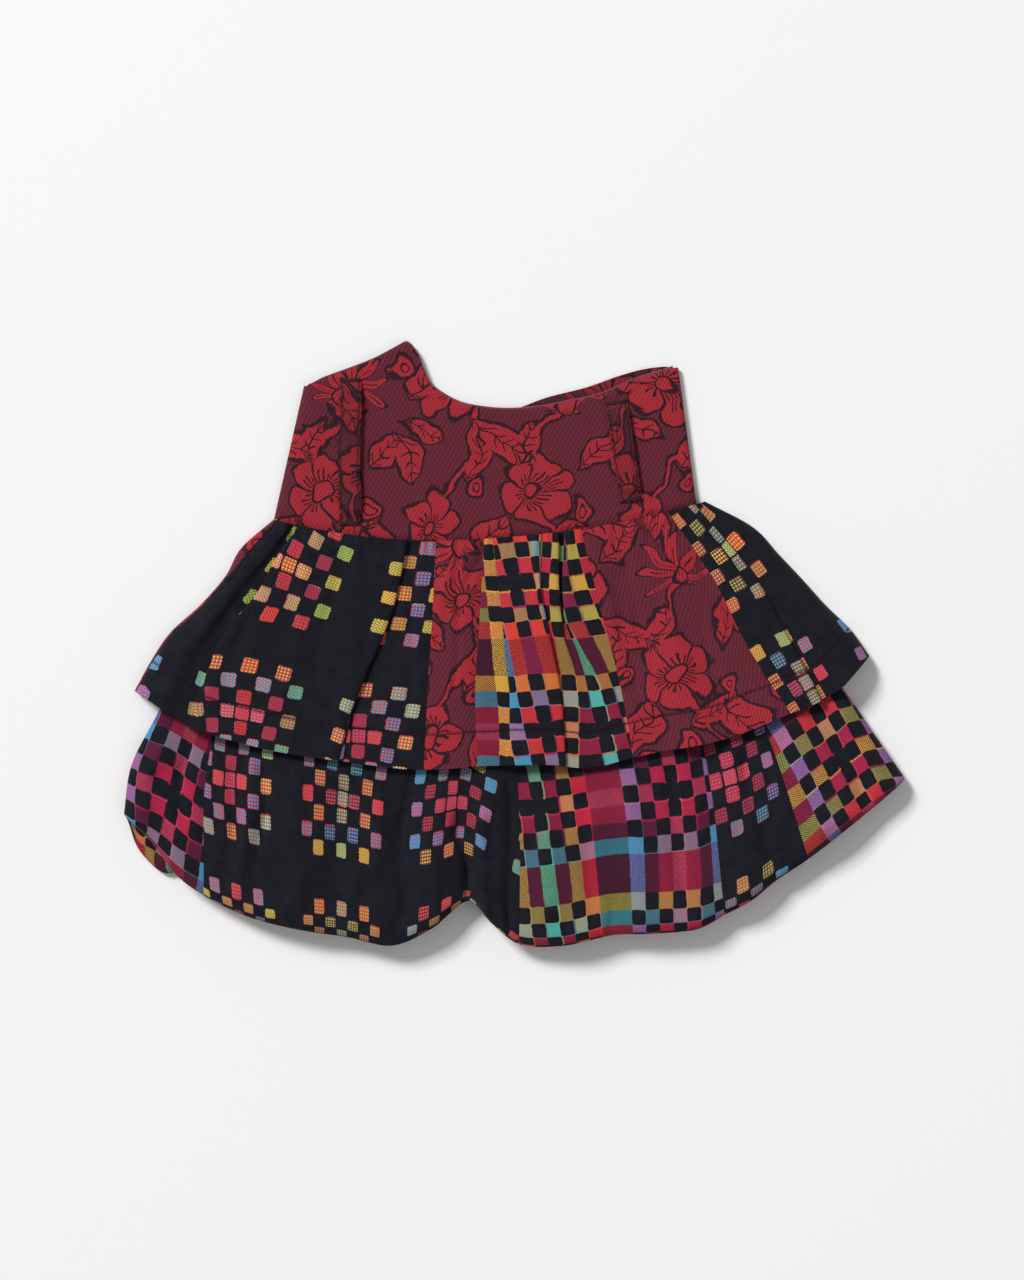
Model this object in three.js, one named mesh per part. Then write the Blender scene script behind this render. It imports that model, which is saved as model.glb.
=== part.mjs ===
// Balloon skirt with a pleated peplum, laid flat on its back.
// Millimetres. X runs across the skirt, Y runs up to the waistband and Z rises from the table.
// The skirt is two closed rings of patchwork cloth, peplum outside and balloon inside, under a band.
import * as THREE from 'three';

// Cloth
const wall = 1.6; // every outer cloth
const halfWall = wall / 2;
const facingWall = 1.2; // inside of the band
const loopWall = 1.4; // doubled strap
const seamGap = 0.3; // between pieces that are sewn together
const foldTurn = 1.5; // how far a fold bulges past its edge line
const pressedFrom = 3; // depth at which a pleat lies fully folded

// Heights of the middle of each layer above the table
const level = {
  back: 0.8, // band back and peplum back
  backFacing: 2.5,
  balloonBack: 2.7,
  sideAtWaist: 4, // where front and back meet at the side
  balloonFront: 5.2,
  frontFacing: 5.6,
  front: 7.4, // band front and peplum front
};

// Seam between the band and the skirt: lowest left of the middle, rising to both sides
const waistSeam = { lowX: -70, lowY: 89, riseLeft: 0.00096, riseRight: 0.0006 };

// Colours of the cloths
const colour = {
  jacquard: '#7c2234',
  facing: '#8a3242',
  blackCheck: '#15151c',
  plaid: '#5a2038',
  strap: '#6d1f2e',
};

// Small sums
const mix = (a, b, t) => a + (b - a) * t;
const clamp01 = (t) => Math.min(1, Math.max(0, t));
const ease = (t) => clamp01(t) ** 2 * (3 - 2 * clamp01(t));

function waistY(x) {
  const away = x - waistSeam.lowX;
  return waistSeam.lowY + (away < 0 ? waistSeam.riseLeft : waistSeam.riseRight) * away * away;
}

// Smooth value at g of a short list that stands at equal steps from the waist (0) to the hem (1)
function along(values, g) {
  const last = values.length - 1;
  const spot = clamp01(g) * last;
  const i = Math.min(last - 1, Math.floor(spot));
  const t = spot - i;
  const [b, c] = [values[i], values[i + 1]];
  const a = i > 0 ? values[i - 1] : 2 * b - c;
  const d = i < last - 1 ? values[i + 2] : 2 * c - b;
  return b + 0.5 * t * (c - a + t * (2 * a - 5 * b + 4 * c - d + t * (3 * (b - c) + d - a)));
}

// Point at t between b and c on a curve through four points, without overshoot at tight folds
function throughFour(a, b, c, d, t) {
  const step = (p, q) => Math.sqrt(p.distanceTo(q)) + 1e-4;
  const k1 = step(a, b);
  const k2 = k1 + step(b, c);
  const k3 = k2 + step(c, d);
  const k = mix(k1, k2, t);
  const blend = (p, q, from, to) => p.clone().lerp(q, (k - from) / (to - from));
  const ab = blend(a, b, 0, k1);
  const bc = blend(b, c, k1, k2);
  const cd = blend(c, d, k2, k3);
  return blend(blend(ab, bc, 0, k2), blend(bc, cd, k1, k3), k1, k2);
}

// The peplum's front, from its left side to its right side.
// x: across at equal steps from waist to hem. hemY: where it ends. lift: above the lie of the cloth.
// A pleat's x is the edge that shows, faces says where that edge looks, depth is how far the cloth
// goes back under it (below 0 it has opened into a wave of that width), rise is its height.
const peplumFront = [
  { name: 'leftSide', x: [-207, -235, -249, -270.5, -297, -313.5, -327], hemY: -41 },
  { name: 'leftSeam', x: [-204.3, -226, -246, -268, -294.5, -311, -325], hemY: -42, lift: [0, 0] },
  { name: 'sidePleat', faces: 'left', x: [-199, -222, -241, -262, -286, -302, -315], hemY: -48,
    depth: [3, 6, 0, -4, -5, -6, -7], rise: [4, 4, 3, 1.5, 1, 1, 1], hemSlope: -0.6 },
  { name: 'sideCrest', x: [-193, -213, -237, -256, -278, -292, -302], hemY: -56, lift: [4, 5] },
  { name: 'sideValley', x: [-188.5, -208, -230, -251, -269, -280, -289], hemY: -64, lift: [0, 1] },
  { name: 'pleatA', faces: 'left', x: [-183, -203, -219, -243, -259, -266, -270], hemY: -75,
    depth: [15, 14, 12, 7, 1, -6, -9], rise: [4, 4], hemSlope: -0.35 },
  { name: 'blackCrest', x: [-154, -179, -201, -216], hemY: -90, lift: [4, 3] },
  { name: 'blackFlat', x: [-122, -142, -160, -172], hemY: -98, lift: [4, 2.5] },
  { name: 'pleatB', faces: 'right', x: [-93, -107, -133, -153], hemY: -100,
    depth: [10, 9, 4, -8], rise: [4, 4, 4, 3], hemSlope: -0.15 },
  { name: 'underB', x: [-78, -84, -94, -103], hemY: -107, lift: [0, 1] },
  { name: 'seamFloralLeft', x: [-67, -70, -74, -77], hemY: -108.5, lift: [0, 0.5] },
  { name: 'tuck', x: [-38, -49, -52, -53], hemY: -107.5, lift: [2, 1.5] },
  { name: 'seamPlaidLeft', x: [-25, -29, -33, -31], hemY: -105.5, lift: [0, 0.5] },
  { name: 'pleatC', faces: 'left', x: [-16, -8, -3, -1], hemY: -104.5,
    depth: [4, 4, 1, -6], rise: [4, 4, 4, 3], hemSlope: 0.03 },
  { name: 'boxCrest', x: [4, 8, 14, 20], hemY: -104, lift: [4, 7.5, 5, 4] },
  { name: 'pleatD', faces: 'right', x: [18, 25, 38, 43], hemY: -104.5, under: [4, 4, 0.5, 0],
    depth: [-8, 2.5, 7, 9], rise: [0.5, 4.2, 4, 4], hemSlope: 0 },
  { name: 'pleatE', faces: 'right', x: [37, 38.5, 53, 57], hemY: -107,
    depth: [5, 4, -8, -8], rise: [4, 4, 0.5, 0.5], hemSlope: 0 },
  { name: 'pleatF', faces: 'left', x: [46, 46, 69, 75], hemY: -105.5,
    depth: [5, 4, -5, -6], rise: [4, 4, 1, 0.6], hemSlope: 0.04 },
  { name: 'seamPlaidRight', x: [58, 74, 91, 103], hemY: -98, lift: [3, 1] },
  { name: 'floralFlat', x: [83, 102, 117, 131], hemY: -92, lift: [1, 2] },
  { name: 'floralRidge', x: [103, 128, 143, 159], hemY: -87.5, lift: [0, 1, 4, 5] },
  { name: 'pleatG', faces: 'left', x: [111, 154, 177, 197], hemY: -77,
    depth: [7, -1, -8, -10], rise: [4, 3, 2, 2], hemSlope: 0.35 },
  { name: 'seamBlackRight', x: [133, 172, 201, 238], hemY: -60, lift: [3.5, 2] },
  { name: 'pleatH', faces: 'right', x: [154, 201, 233, 263], hemY: -50,
    depth: [11, 10, 7, 3], rise: [4.2, 4.2], hemSlope: 0.55 },
  { name: 'rightValley', x: [158.5, 207, 239, 269], hemY: -46, lift: [0, 0, 0, 0.4] },
  { name: 'rightCrest', x: [161, 214, 251, 284], hemY: -36, lift: [0, 2, 4, 4.5] },
  { name: 'rightSide', x: [165.6, 207, 228, 249, 269, 291.5, 307], hemY: -11 },
];

// The peplum's back, from its right side to its left side
const peplumBack = [
  { name: 'backRight', x: [146, 203, 243, 276], hemY: -37 },
  { name: 'backRightMiddle', x: [110, 155, 190, 215], hemY: -65 },
  { name: 'backSeam', x: [30, 36, 40, 44], hemY: -99 },
  { name: 'backLeftMiddle', x: [-60, -75, -85, -92], hemY: -102 },
  { name: 'backLeftOuter', x: [-130, -165, -190, -208], hemY: -87 },
  { name: 'backLeft', x: [-180, -220, -258, -286], hemY: -60 },
];

// The balloon's front, from its left side to its right side
const balloonFront = [
  { name: 'leftSide', x: [-204, -236, -261, -286.5, -308.5, -329.5, -336], hemY: -148 },
  { name: 'cornerLeft', x: [-194, -247, -289, -313], hemY: -168, lift: [0, 0, -2.5, -7] },
  { name: 'pouchLeft', x: [-189, -242, -275, -288], hemY: -200, lift: [0, -4] },
  { name: 'seamBlackLeft', x: [-184, -237, -264, -266], hemY: -216, lift: [0, -4] },
  { name: 'billowOne', x: [-162, -208, -229, -228], hemY: -234, lift: [0, 1] },
  { name: 'billowTwo', x: [-132, -175, -185, -184], hemY: -245, lift: [0, 3] },
  { name: 'billowThree', x: [-98, -130, -142, -141], hemY: -252, lift: [0, 1] },
  { name: 'foldLine', x: [-72, -93, -104, -104], hemY: -259, lift: [0, -1.5] },
  { name: 'billowFour', x: [-52, -66, -73, -70], hemY: -244, lift: [0, 1.5] },
  { name: 'notch', x: [-33, -41, -44, -38], hemY: -221, lift: [0, -5] },
  { name: 'rolledHem', x: [-22, -22, -18, -18], hemY: -240, lift: [0, 1] },
  { name: 'seamPlaidCentre', x: [-12, -5, 5, 5], hemY: -258, lift: [0, -2.5] },
  { name: 'centreLeft', x: [16, 27, 37, 42], hemY: -259, lift: [0, 1.5] },
  { name: 'hemPucker', x: [45, 64, 81, 86], hemY: -250, lift: [0, 0] },
  { name: 'centreMiddle', x: [68, 93, 116, 119], hemY: -248.5, lift: [0, 2.5] },
  { name: 'centreRight', x: [95, 129, 152, 160], hemY: -244, lift: [0, 1.5] },
  { name: 'seamBlackRight', x: [109, 145, 169, 181], hemY: -233, lift: [0, -3] },
  { name: 'billowFive', x: [122, 160, 190, 203], hemY: -221, lift: [0, 1] },
  { name: 'rightPucker', x: [133, 169, 207, 226], hemY: -203, lift: [0, -1.5] },
  { name: 'seamPlaidRight', x: [143, 176, 221, 253], hemY: -185, lift: [0, -3] },
  { name: 'rightMiddle', x: [148, 189, 243, 282], hemY: -162, lift: [0, 1] },
  { name: 'cornerRight', x: [152, 203, 262, 309], hemY: -141, lift: [0, 0, -1.5, -5] },
  { name: 'rightSide', x: [157, 189, 220.5, 251.5, 283.5, 310.5, 338], hemY: -117 },
];

// The balloon's back, from its right side to its left side, where it shows past the front's hem
const balloonBack = [
  { name: 'backRight', x: [140, 188, 240, 288], hemY: -150 },
  { name: 'backRightMiddle', x: [110, 150, 192, 214], hemY: -205 },
  { name: 'backSeamRight', x: [80, 112, 148, 162], hemY: -236 },
  { name: 'backMiddleRight', x: [28, 45, 58, 68], hemY: -247 },
  { name: 'backMiddle', x: [-22, -24, -28, -34], hemY: -215 },
  { name: 'backMiddleLeft', x: [-70, -95, -108, -114], hemY: -251 },
  { name: 'backSeamLeft', x: [-125, -168, -192, -200], hemY: -236 },
  { name: 'backLeft', x: [-168, -217, -250, -262], hemY: -212 },
  { name: 'pouchInner', x: [-184, -233, -268, -287], hemY: -198 },
  { name: 'pouchLow', x: [-189, -240, -280, -302], hemY: -198 },
  { name: 'pouchTurn', x: [-194, -247, -291, -315], hemY: -188 },
  { name: 'pouchSide', x: [-198, -253, -300, -324.5], hemY: -176 },
];

// How each ring stands. Rolls are the widths over which front and back turn in at the sides.
const peplum = {
  name: 'peplum', front: peplumFront, back: peplumBack,
  hemRise: 13.2, riseShape: 1.3, sideAtHem: 5,
  frontRoll: (g) => mix(3, 20, ease((g - 0.33) / 0.5)),
  backRoll: (g) => mix(3, 6, g),
};
const balloon = {
  name: 'balloon', front: balloonFront, back: balloonBack,
  hemRise: 22, riseShape: 1.6, sideAtHem: 9,
  frontRoll: (g) => mix(3, 15, g),
  backRoll: (g) => mix(3, 6, g),
};

const tightestTurn = 0.95; // radius of the middle of the cloth at its sharpest folds

// The balloon's back climbs from the table onto the peplum's back
const climb = { clearOfHem: 14, length: 44 };

// Hem of the balloon: a round turn and a strip that goes back inside
const hemTurn = { plan: 11, least: 1.1, backHeight: 3.9, widens: 25 };
const returnStrip = { level: 15.4, length: 22, atSide: 3, widens: 40 };
const turnStarts = 0.82; // share of the way down the cloth at which the turn begins
const turnEnds = 0.94;

// A line of the cloth from waist to hem gives { x, y, lift } at g
function plainLine(row) {
  const lifts = row.lift ?? [0, 0];
  return (g) => ({
    x: along(row.x, g),
    y: mix(waistY(row.x[0]), row.hemY, g),
    lift: along(lifts, g),
  });
}

// A pleat is six lines: hidden edge, turn, middle layer twice, turn, edge that shows
function pleatLines(row) {
  const under = row.faces === 'left' ? 1 : -1;
  const heights = [0, 0.25, 0.5, 0.5, 0.75, 1];
  const lines = heights.map((height, k) => {
    const acrossAt = (g) => {
      const edge = along(row.x, g);
      const depth = along(row.depth, g);
      const hidden = edge + under * depth;
      const turn = under * foldTurn;
      const folded = [hidden, hidden + turn, hidden, edge, edge - turn, edge][k];
      const open = depth < 0 ? mix(hidden, edge, k / 5) : (hidden + edge) / 2;
      return mix(open, folded, ease(depth / pressedFrom));
    };
    const topX = acrossAt(0);
    const hemY = row.hemY + row.hemSlope * (acrossAt(1) - along(row.x, 1));
    return (g) => ({
      x: acrossAt(g),
      y: mix(waistY(topX), hemY, g),
      lift: along(row.under ?? [0, 0], g) + along(row.rise, g) * mixHeight(row, k, g, height),
    });
  });
  return under > 0 ? lines : lines.reverse();
}

// An opened pleat rises evenly, a pressed one in three layers
function mixHeight(row, k, g, folded) {
  return mix(k / 5, folded, ease(along(row.depth, g) / pressedFrom));
}

function frontHeight(tier, g) {
  const start = tier === peplum ? level.front : level.balloonFront;
  return start + tier.hemRise * clamp01(g) ** tier.riseShape;
}

function sideHeight(tier, g) {
  return mix(level.sideAtWaist, tier.sideAtHem, ease(g / 0.9));
}

// Width of the round at a side, no tighter at its tip than the cloth can turn
function rollWidth(tier, facing, g) {
  const side = sideHeight(tier, g);
  const flatBack = tier === peplum ? level.back : level.balloonBack;
  const tall = facing > 0 ? frontHeight(tier, g) - side : side - flatBack;
  return Math.min((facing > 0 ? tier.frontRoll : tier.backRoll)(g), (tall * tall) / tightestTurn);
}

// Lines on the round of a side fold, between the side and the next line of the cloth
function rollLines(tier, facing, side, next, inward) {
  const width = (g) => rollWidth(tier, facing, g);
  const hemX = side.x.at(-1) + inward * halfWall;
  const share = 1 / Math.abs(next.x.at(-1) - hemX);
  return [30, 60, 90].map((degrees) => {
    const turn = 1 - Math.cos(THREE.MathUtils.degToRad(degrees));
    const topX = side.x[0] + inward * (halfWall + width(0) * turn);
    const hemY = mix(side.hemY, next.hemY, Math.min(1, width(1) * turn * share));
    return (g) => ({
      x: along(side.x, g) + inward * (halfWall + width(g) * turn),
      y: mix(waistY(topX), hemY, g),
      lift: along(next.lift ?? [0, 0], g),
    });
  });
}

// All lines of a ring in order: left side, front, right side, back
function ringLines(tier) {
  const [left, ...rest] = tier.front;
  const right = rest.pop();
  const lines = [];
  const at = {};
  const add = (name, facing, made) => {
    at[name] = lines.length;
    made.forEach((line) => lines.push({ line, facing }));
  };
  const sideLine = (side, inward) => plainLine({ ...side, x: side.x.map((x) => x + inward * halfWall) });
  add('leftSide', 0, [sideLine(left, 1)]);
  if (tier === balloon) add('frontRollLeft', 1, rollLines(tier, 1, left, rest[0], 1));
  rest.forEach((row) => add(row.name, 1, row.faces ? pleatLines(row) : [plainLine(row)]));
  add('frontRollRight', 1, rollLines(tier, 1, right, rest.at(-1), -1).reverse());
  add('rightSide', 0, [sideLine(right, -1)]);
  add('backRollRight', -1, rollLines(tier, -1, right, tier.back[0], -1));
  tier.back.forEach((row) => add(row.name, -1, [plainLine(row)]));
  add('backRollLeft', -1, rollLines(tier, -1, left, tier.back.at(-1), 1).reverse());
  return { lines, at, leftX: (g) => along(left.x, g) + halfWall, rightX: (g) => along(right.x, g) - halfWall };
}
const rings = new Map([peplum, balloon].map((tier) => [tier, ringLines(tier)]));

// Height of the peplum back's hem line at x, which the balloon's back has to clear
const peplumHemPoints = [peplumFront[0], ...peplumBack.slice().reverse(), peplumFront.at(-1)];
function peplumBackHemY(x) {
  const next = peplumHemPoints.findIndex((row) => row.x.at(-1) > x);
  if (next < 1) return peplumHemPoints.at(next === 0 ? 0 : -1).hemY;
  const [a, b] = [peplumHemPoints[next - 1], peplumHemPoints[next]];
  return mix(a.hemY, b.hemY, (x - a.x.at(-1)) / (b.x.at(-1) - a.x.at(-1)));
}

function backHeight(tier, x, y) {
  if (tier === peplum) return level.back;
  const past = peplumBackHemY(x) - climb.clearOfHem - y;
  return mix(level.balloonBack, level.back, ease(past / climb.length));
}

// Where a line of the ring lies at g, before the hem is turned in, with the way to the inside
function lieOfCloth(tier, index, g) {
  const { lines, leftX, rightX } = rings.get(tier);
  const { line, facing } = lines[(index + lines.length) % lines.length];
  const { x, y, lift } = line(g);
  const fromLeft = x - leftX(g);
  const fromRight = rightX(g) - x;
  const inwards = fromLeft < fromRight ? 1 : -1;
  const inset = Math.max(0, Math.min(fromLeft, fromRight));
  const near = 1 - Math.min(1, inset / rollWidth(tier, facing, g));
  const share = facing === 0 ? 0 : Math.sqrt(1 - near * near);
  const full = facing < 0 ? backHeight(tier, x, y) : frontHeight(tier, g) + lift;
  const point = new THREE.Vector3(x, y, mix(sideHeight(tier, g), full, share));
  const inside = new THREE.Vector3(inwards * Math.sqrt(1 - share * share), 0, -facing * share);
  return { point, inside, inset, facing };
}

// Where a line of the balloon lies, v down the cloth: the lie, the round turn, then the strip inside
function turnedLine(index, v) {
  const top = lieOfCloth(balloon, index, 0).point;
  const hem = lieOfCloth(balloon, index, 1);
  const length = Math.hypot(hem.point.x - top.x, hem.point.y - top.y);
  const open = Math.min(1, hem.inset / hemTurn.widens);
  const nearHem = lieOfCloth(balloon, index, 1 - hemTurn.plan / length).point;
  const above = (nearHem.z - returnStrip.level) / 2;
  const front = Math.max(hemTurn.least, above);
  const back = mix(hemTurn.least, hemTurn.backHeight, open);
  const half = hem.facing > 0 ? front : hem.facing < 0 ? back : hemTurn.least;
  const plan = Math.min(hemTurn.plan, (half * half) / tightestTurn);
  const reach = length - halfWall;
  const gTurn = (reach - plan) / length;
  if (v <= turnStarts) return lieOfCloth(balloon, index, (v / turnStarts) * gTurn).point;
  const start = lieOfCloth(balloon, index, gTurn);
  const round = clamp01((v - turnStarts) / (turnEnds - turnStarts)) * Math.PI;
  const strip = mix(returnStrip.atSide, returnStrip.length, Math.min(1, hem.inset / returnStrip.widens));
  const back01 = clamp01((v - turnEnds) / (1 - turnEnds));
  const ahead = lieOfCloth(balloon, index, gTurn + 0.01).point.sub(start.point).normalize();
  const inside = start.inside.addScaledVector(ahead, -ahead.dot(start.inside)).normalize();
  const g = (reach - plan + plan * Math.sin(round) - strip * back01) / length;
  const along01 = lieOfCloth(balloon, index, g).point;
  const sinks = Math.min(0, along01.z - start.point.z) * (1 - open) * back01;
  const turned = new THREE.Vector3(along01.x, along01.y, start.point.z + sinks);
  return turned.addScaledVector(inside, half * (1 - Math.cos(round)));
}

// Point of a ring at k across (whole numbers are its lines) and v down
function ringPoint(tier, k, v) {
  const base = Math.floor(k);
  const lineAt = (index) => (tier === peplum ? lieOfCloth(tier, index, v).point : turnedLine(index, v));
  const [a, b, c, d] = [base - 1, base, base + 1, base + 2].map(lineAt);
  return throughFour(a, b, c, d, k - base);
}

// Outward direction of the cloth at a point, from its neighbours
function outward(pointAt, k, v) {
  const small = 1e-3;
  const across = pointAt(k + small, v).sub(pointAt(k - small, v));
  const down = pointAt(k, Math.min(1, v + small)).sub(pointAt(k, Math.max(0, v - small)));
  return down.cross(across).normalize();
}

// Closed wall of cloth over a grid of { point, normal }, rows down and columns across
function clothWall(grid, thickness) {
  const rows = grid.length;
  const columns = grid[0].length;
  const vertices = [];
  for (const side of [0.5, -0.5]) {
    for (const row of grid) {
      for (const { point, normal } of row) {
        const corner = point.clone().addScaledVector(normal, side * thickness);
        vertices.push(corner.x, corner.y, Math.max(0, corner.z)); // nothing sinks into the table
      }
    }
  }
  const at = (side, r, c) => side * rows * columns + r * columns + c;
  const faces = [];
  const quad = (a, b, c, d) => faces.push(a, b, c, a, c, d);
  for (let r = 0; r < rows - 1; r++) {
    for (let c = 0; c < columns - 1; c++) {
      quad(at(0, r, c), at(0, r + 1, c), at(0, r + 1, c + 1), at(0, r, c + 1));
      quad(at(1, r, c), at(1, r, c + 1), at(1, r + 1, c + 1), at(1, r + 1, c));
    }
  }
  for (let r = 0; r < rows - 1; r++) {
    const end = columns - 1;
    quad(at(0, r, 0), at(1, r, 0), at(1, r + 1, 0), at(0, r + 1, 0));
    quad(at(0, r, end), at(0, r + 1, end), at(1, r + 1, end), at(1, r, end));
  }
  for (let c = 0; c < columns - 1; c++) {
    const end = rows - 1;
    quad(at(0, 0, c), at(0, 0, c + 1), at(1, 0, c + 1), at(1, 0, c));
    quad(at(0, end, c), at(1, end, c), at(1, end, c + 1), at(0, end, c + 1));
  }
  const geometry = new THREE.BufferGeometry();
  geometry.setAttribute('position', new THREE.Float32BufferAttribute(vertices, 3));
  geometry.setIndex(faces);
  geometry.computeVertexNormals();
  return geometry;
}

function clothMaterial(tint) {
  return new THREE.MeshStandardMaterial({ color: tint, roughness: 0.85, metalness: 0, side: THREE.DoubleSide });
}

function piece(name, tint, geometry) {
  const mesh = new THREE.Mesh(geometry, clothMaterial(tint));
  mesh.name = name;
  return mesh;
}

// Steps down each ring, closer together where the balloon's hem turns
const peplumSteps = Array.from({ length: 11 }, (_, i) => i / 10);
const balloonSteps = [0, 0.12, 0.24, 0.36, 0.47, 0.57, 0.66, 0.74, turnStarts, 0.85, 0.88, 0.91, turnEnds, 1];
const widestStep = 24; // longest stretch of cloth between two columns
const measuredAt = 0.7; // how far down the columns are spaced out

// One panel of a ring, between the seams at two of its lines
function panel(name, tint, tier, from, to) {
  const { at, lines } = rings.get(tier);
  const first = at[from];
  const last = at[to] > first ? at[to] : at[to] + lines.length;
  const pointAt = (k, v) => ringPoint(tier, k, v);
  const columns = [];
  for (let k = first; k < last; k++) {
    const stretch = pointAt(k, measuredAt).distanceTo(pointAt(k + 1, measuredAt));
    const parts = Math.max(1, Math.round(stretch / widestStep));
    for (let part = 0; part < parts; part++) columns.push(k + part / parts);
  }
  columns.push(last);
  const steps = tier === peplum ? peplumSteps : balloonSteps;
  const grid = steps.map((v) => {
    const pull = (k, next) => seamGap / 2 / pointAt(k, v).distanceTo(pointAt(next, v));
    return columns.map((column) => {
      let k = column;
      if (column === first) k = first + pull(first, first + 1);
      if (column === last) k = last - pull(last, last - 1);
      const normal = outward(pointAt, k, v);
      if (v === 0) normal.setY(0).normalize(); // cut square along the waist seam
      return { point: pointAt(k, v), normal };
    });
  });
  return piece(name, tint, clothWall(grid, wall));
}

// The band's top edges, left to right: x, y. The front has a peak at the left and a scoop.
const bandTopFront = [
  [-160.5, 229.5], [-121, 244.5], [-100, 255.5], [-92, 259.3], [-84, 251.5], [-78, 237], [-71.5, 223.5],
  [-60, 214.5], [-45, 207], [-25, 203], [-5, 201.6], [21, 203.4], [44, 207.7], [75, 214.6],
  [105, 227.5], [128.5, 234.4],
];
const bandTopBack = [
  [-150, 219.5], [-110, 213], [-70, 206], [-40, 200], [-5, 201], [29, 212.5], [64, 221.5],
  [91, 231], [113, 237], [133, 239],
];
const band = {
  topLeft: -181, topLeftY: 221.9, topRight: 142.3, topRightY: 237.8,
  bottomLeft: -206.8, bottomRight: 158, roll: 3, facingInset: 5, facingStandsProud: 0.8,
};
const bandSteps = [0, 0.25, 0.5, 0.75, 1];

// Point of the band at a place across its top edge and v down to the waist seam
function bandPoint(topX, topY, v, inset, height) {
  const share = (topX - band.topLeft) / (band.topRight - band.topLeft);
  const bottomX = mix(band.bottomLeft, band.bottomRight, share);
  const middle = share < 0.5 ? 1 : -1;
  const x = mix(topX, bottomX, v) + middle * inset;
  return new THREE.Vector3(x, mix(topY, waistY(bottomX) + seamGap, v), height);
}

function bandColumns(topRows, sideAngles) {
  const left = sideAngles.map((a) => ({ x: band.topLeft, y: band.topLeftY, angle: a }));
  const middle = topRows.map(([x, y]) => ({ x, y, angle: 90 }));
  const right = sideAngles.map((a) => ({ x: band.topRight, y: band.topRightY, angle: a })).reverse();
  return [...left, ...middle, ...right];
}

// Outer side of the band, whose sides roll in until front and back meet
function bandOuter(name, topRows, facing) {
  const flat = facing > 0 ? level.front : level.back;
  const side = level.sideAtWaist + (facing * seamGap) / 2;
  const grid = bandSteps.map((v) => bandColumns(topRows, [0, 30, 60, 90]).map((column) => {
    const turn = THREE.MathUtils.degToRad(column.angle);
    const rolled = column.x === band.topLeft || column.x === band.topRight;
    const inset = rolled ? halfWall + band.roll * (1 - Math.cos(turn)) : 0;
    const point = bandPoint(column.x, column.y, v, inset, mix(side, flat, Math.sin(turn)));
    const sideways = column.x < 0 ? -Math.cos(turn) : Math.cos(turn);
    const normal = new THREE.Vector3(sideways, 0, facing * Math.sin(turn)).normalize();
    return { point, normal };
  }));
  if (facing < 0) grid.forEach((row) => row.reverse());
  return piece(name, colour.jacquard, clothWall(grid, wall));
}

// Flat facing inside the band
function bandFacing(name, topRows, height, proud) {
  const grid = bandSteps.map((v) => bandColumns(topRows, [90]).map((column) => {
    const atSide = column.x === band.topLeft || column.x === band.topRight;
    const point = bandPoint(column.x, column.y + proud * (1 - v), v, atSide ? band.facingInset : 0, height);
    return { point, normal: new THREE.Vector3(0, 0, 1) };
  }));
  return piece(name, colour.facing, clothWall(grid, facingWall));
}

// Belt loops, sewn down at both ends and bowed up between. Ends are the middle of the strap.
const loopStrap = { width: 18.5, bow: 2.4, clear: 0.3, flatEnd: 0.08, steps: 12 };
const loops = [
  { name: 'belt_loop_left', top: [-140.5, 229], bottom: [-141.5, 102] },
  { name: 'belt_loop_right', top: [88, 209.5], bottom: [101.5, 122.5] },
];

function beltLoop({ name, top, bottom }) {
  const down = new THREE.Vector2(bottom[0] - top[0], bottom[1] - top[1]).normalize();
  const across = new THREE.Vector3(-down.y, down.x, 0).multiplyScalar(loopStrap.width / 2);
  const seat = level.front + halfWall + loopStrap.clear + loopWall / 2;
  const heightAt = (v) => seat + loopStrap.bow * ease(Math.min(v, 1 - v) / loopStrap.flatEnd - 0.5);
  const grid = Array.from({ length: loopStrap.steps + 1 }, (_, i) => {
    const v = i / loopStrap.steps;
    const middle = new THREE.Vector3(mix(top[0], bottom[0], v), mix(top[1], bottom[1], v), heightAt(v));
    const slope = heightAt(Math.min(1, v + 0.01)) - heightAt(Math.max(0, v - 0.01));
    const normal = new THREE.Vector3(0, 0.01 * slope, 1).normalize();
    return [-1, 1].map((side) => ({ point: middle.clone().addScaledVector(across, side), normal }));
  });
  return piece(name, colour.strap, clothWall(grid, loopWall));
}

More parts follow.
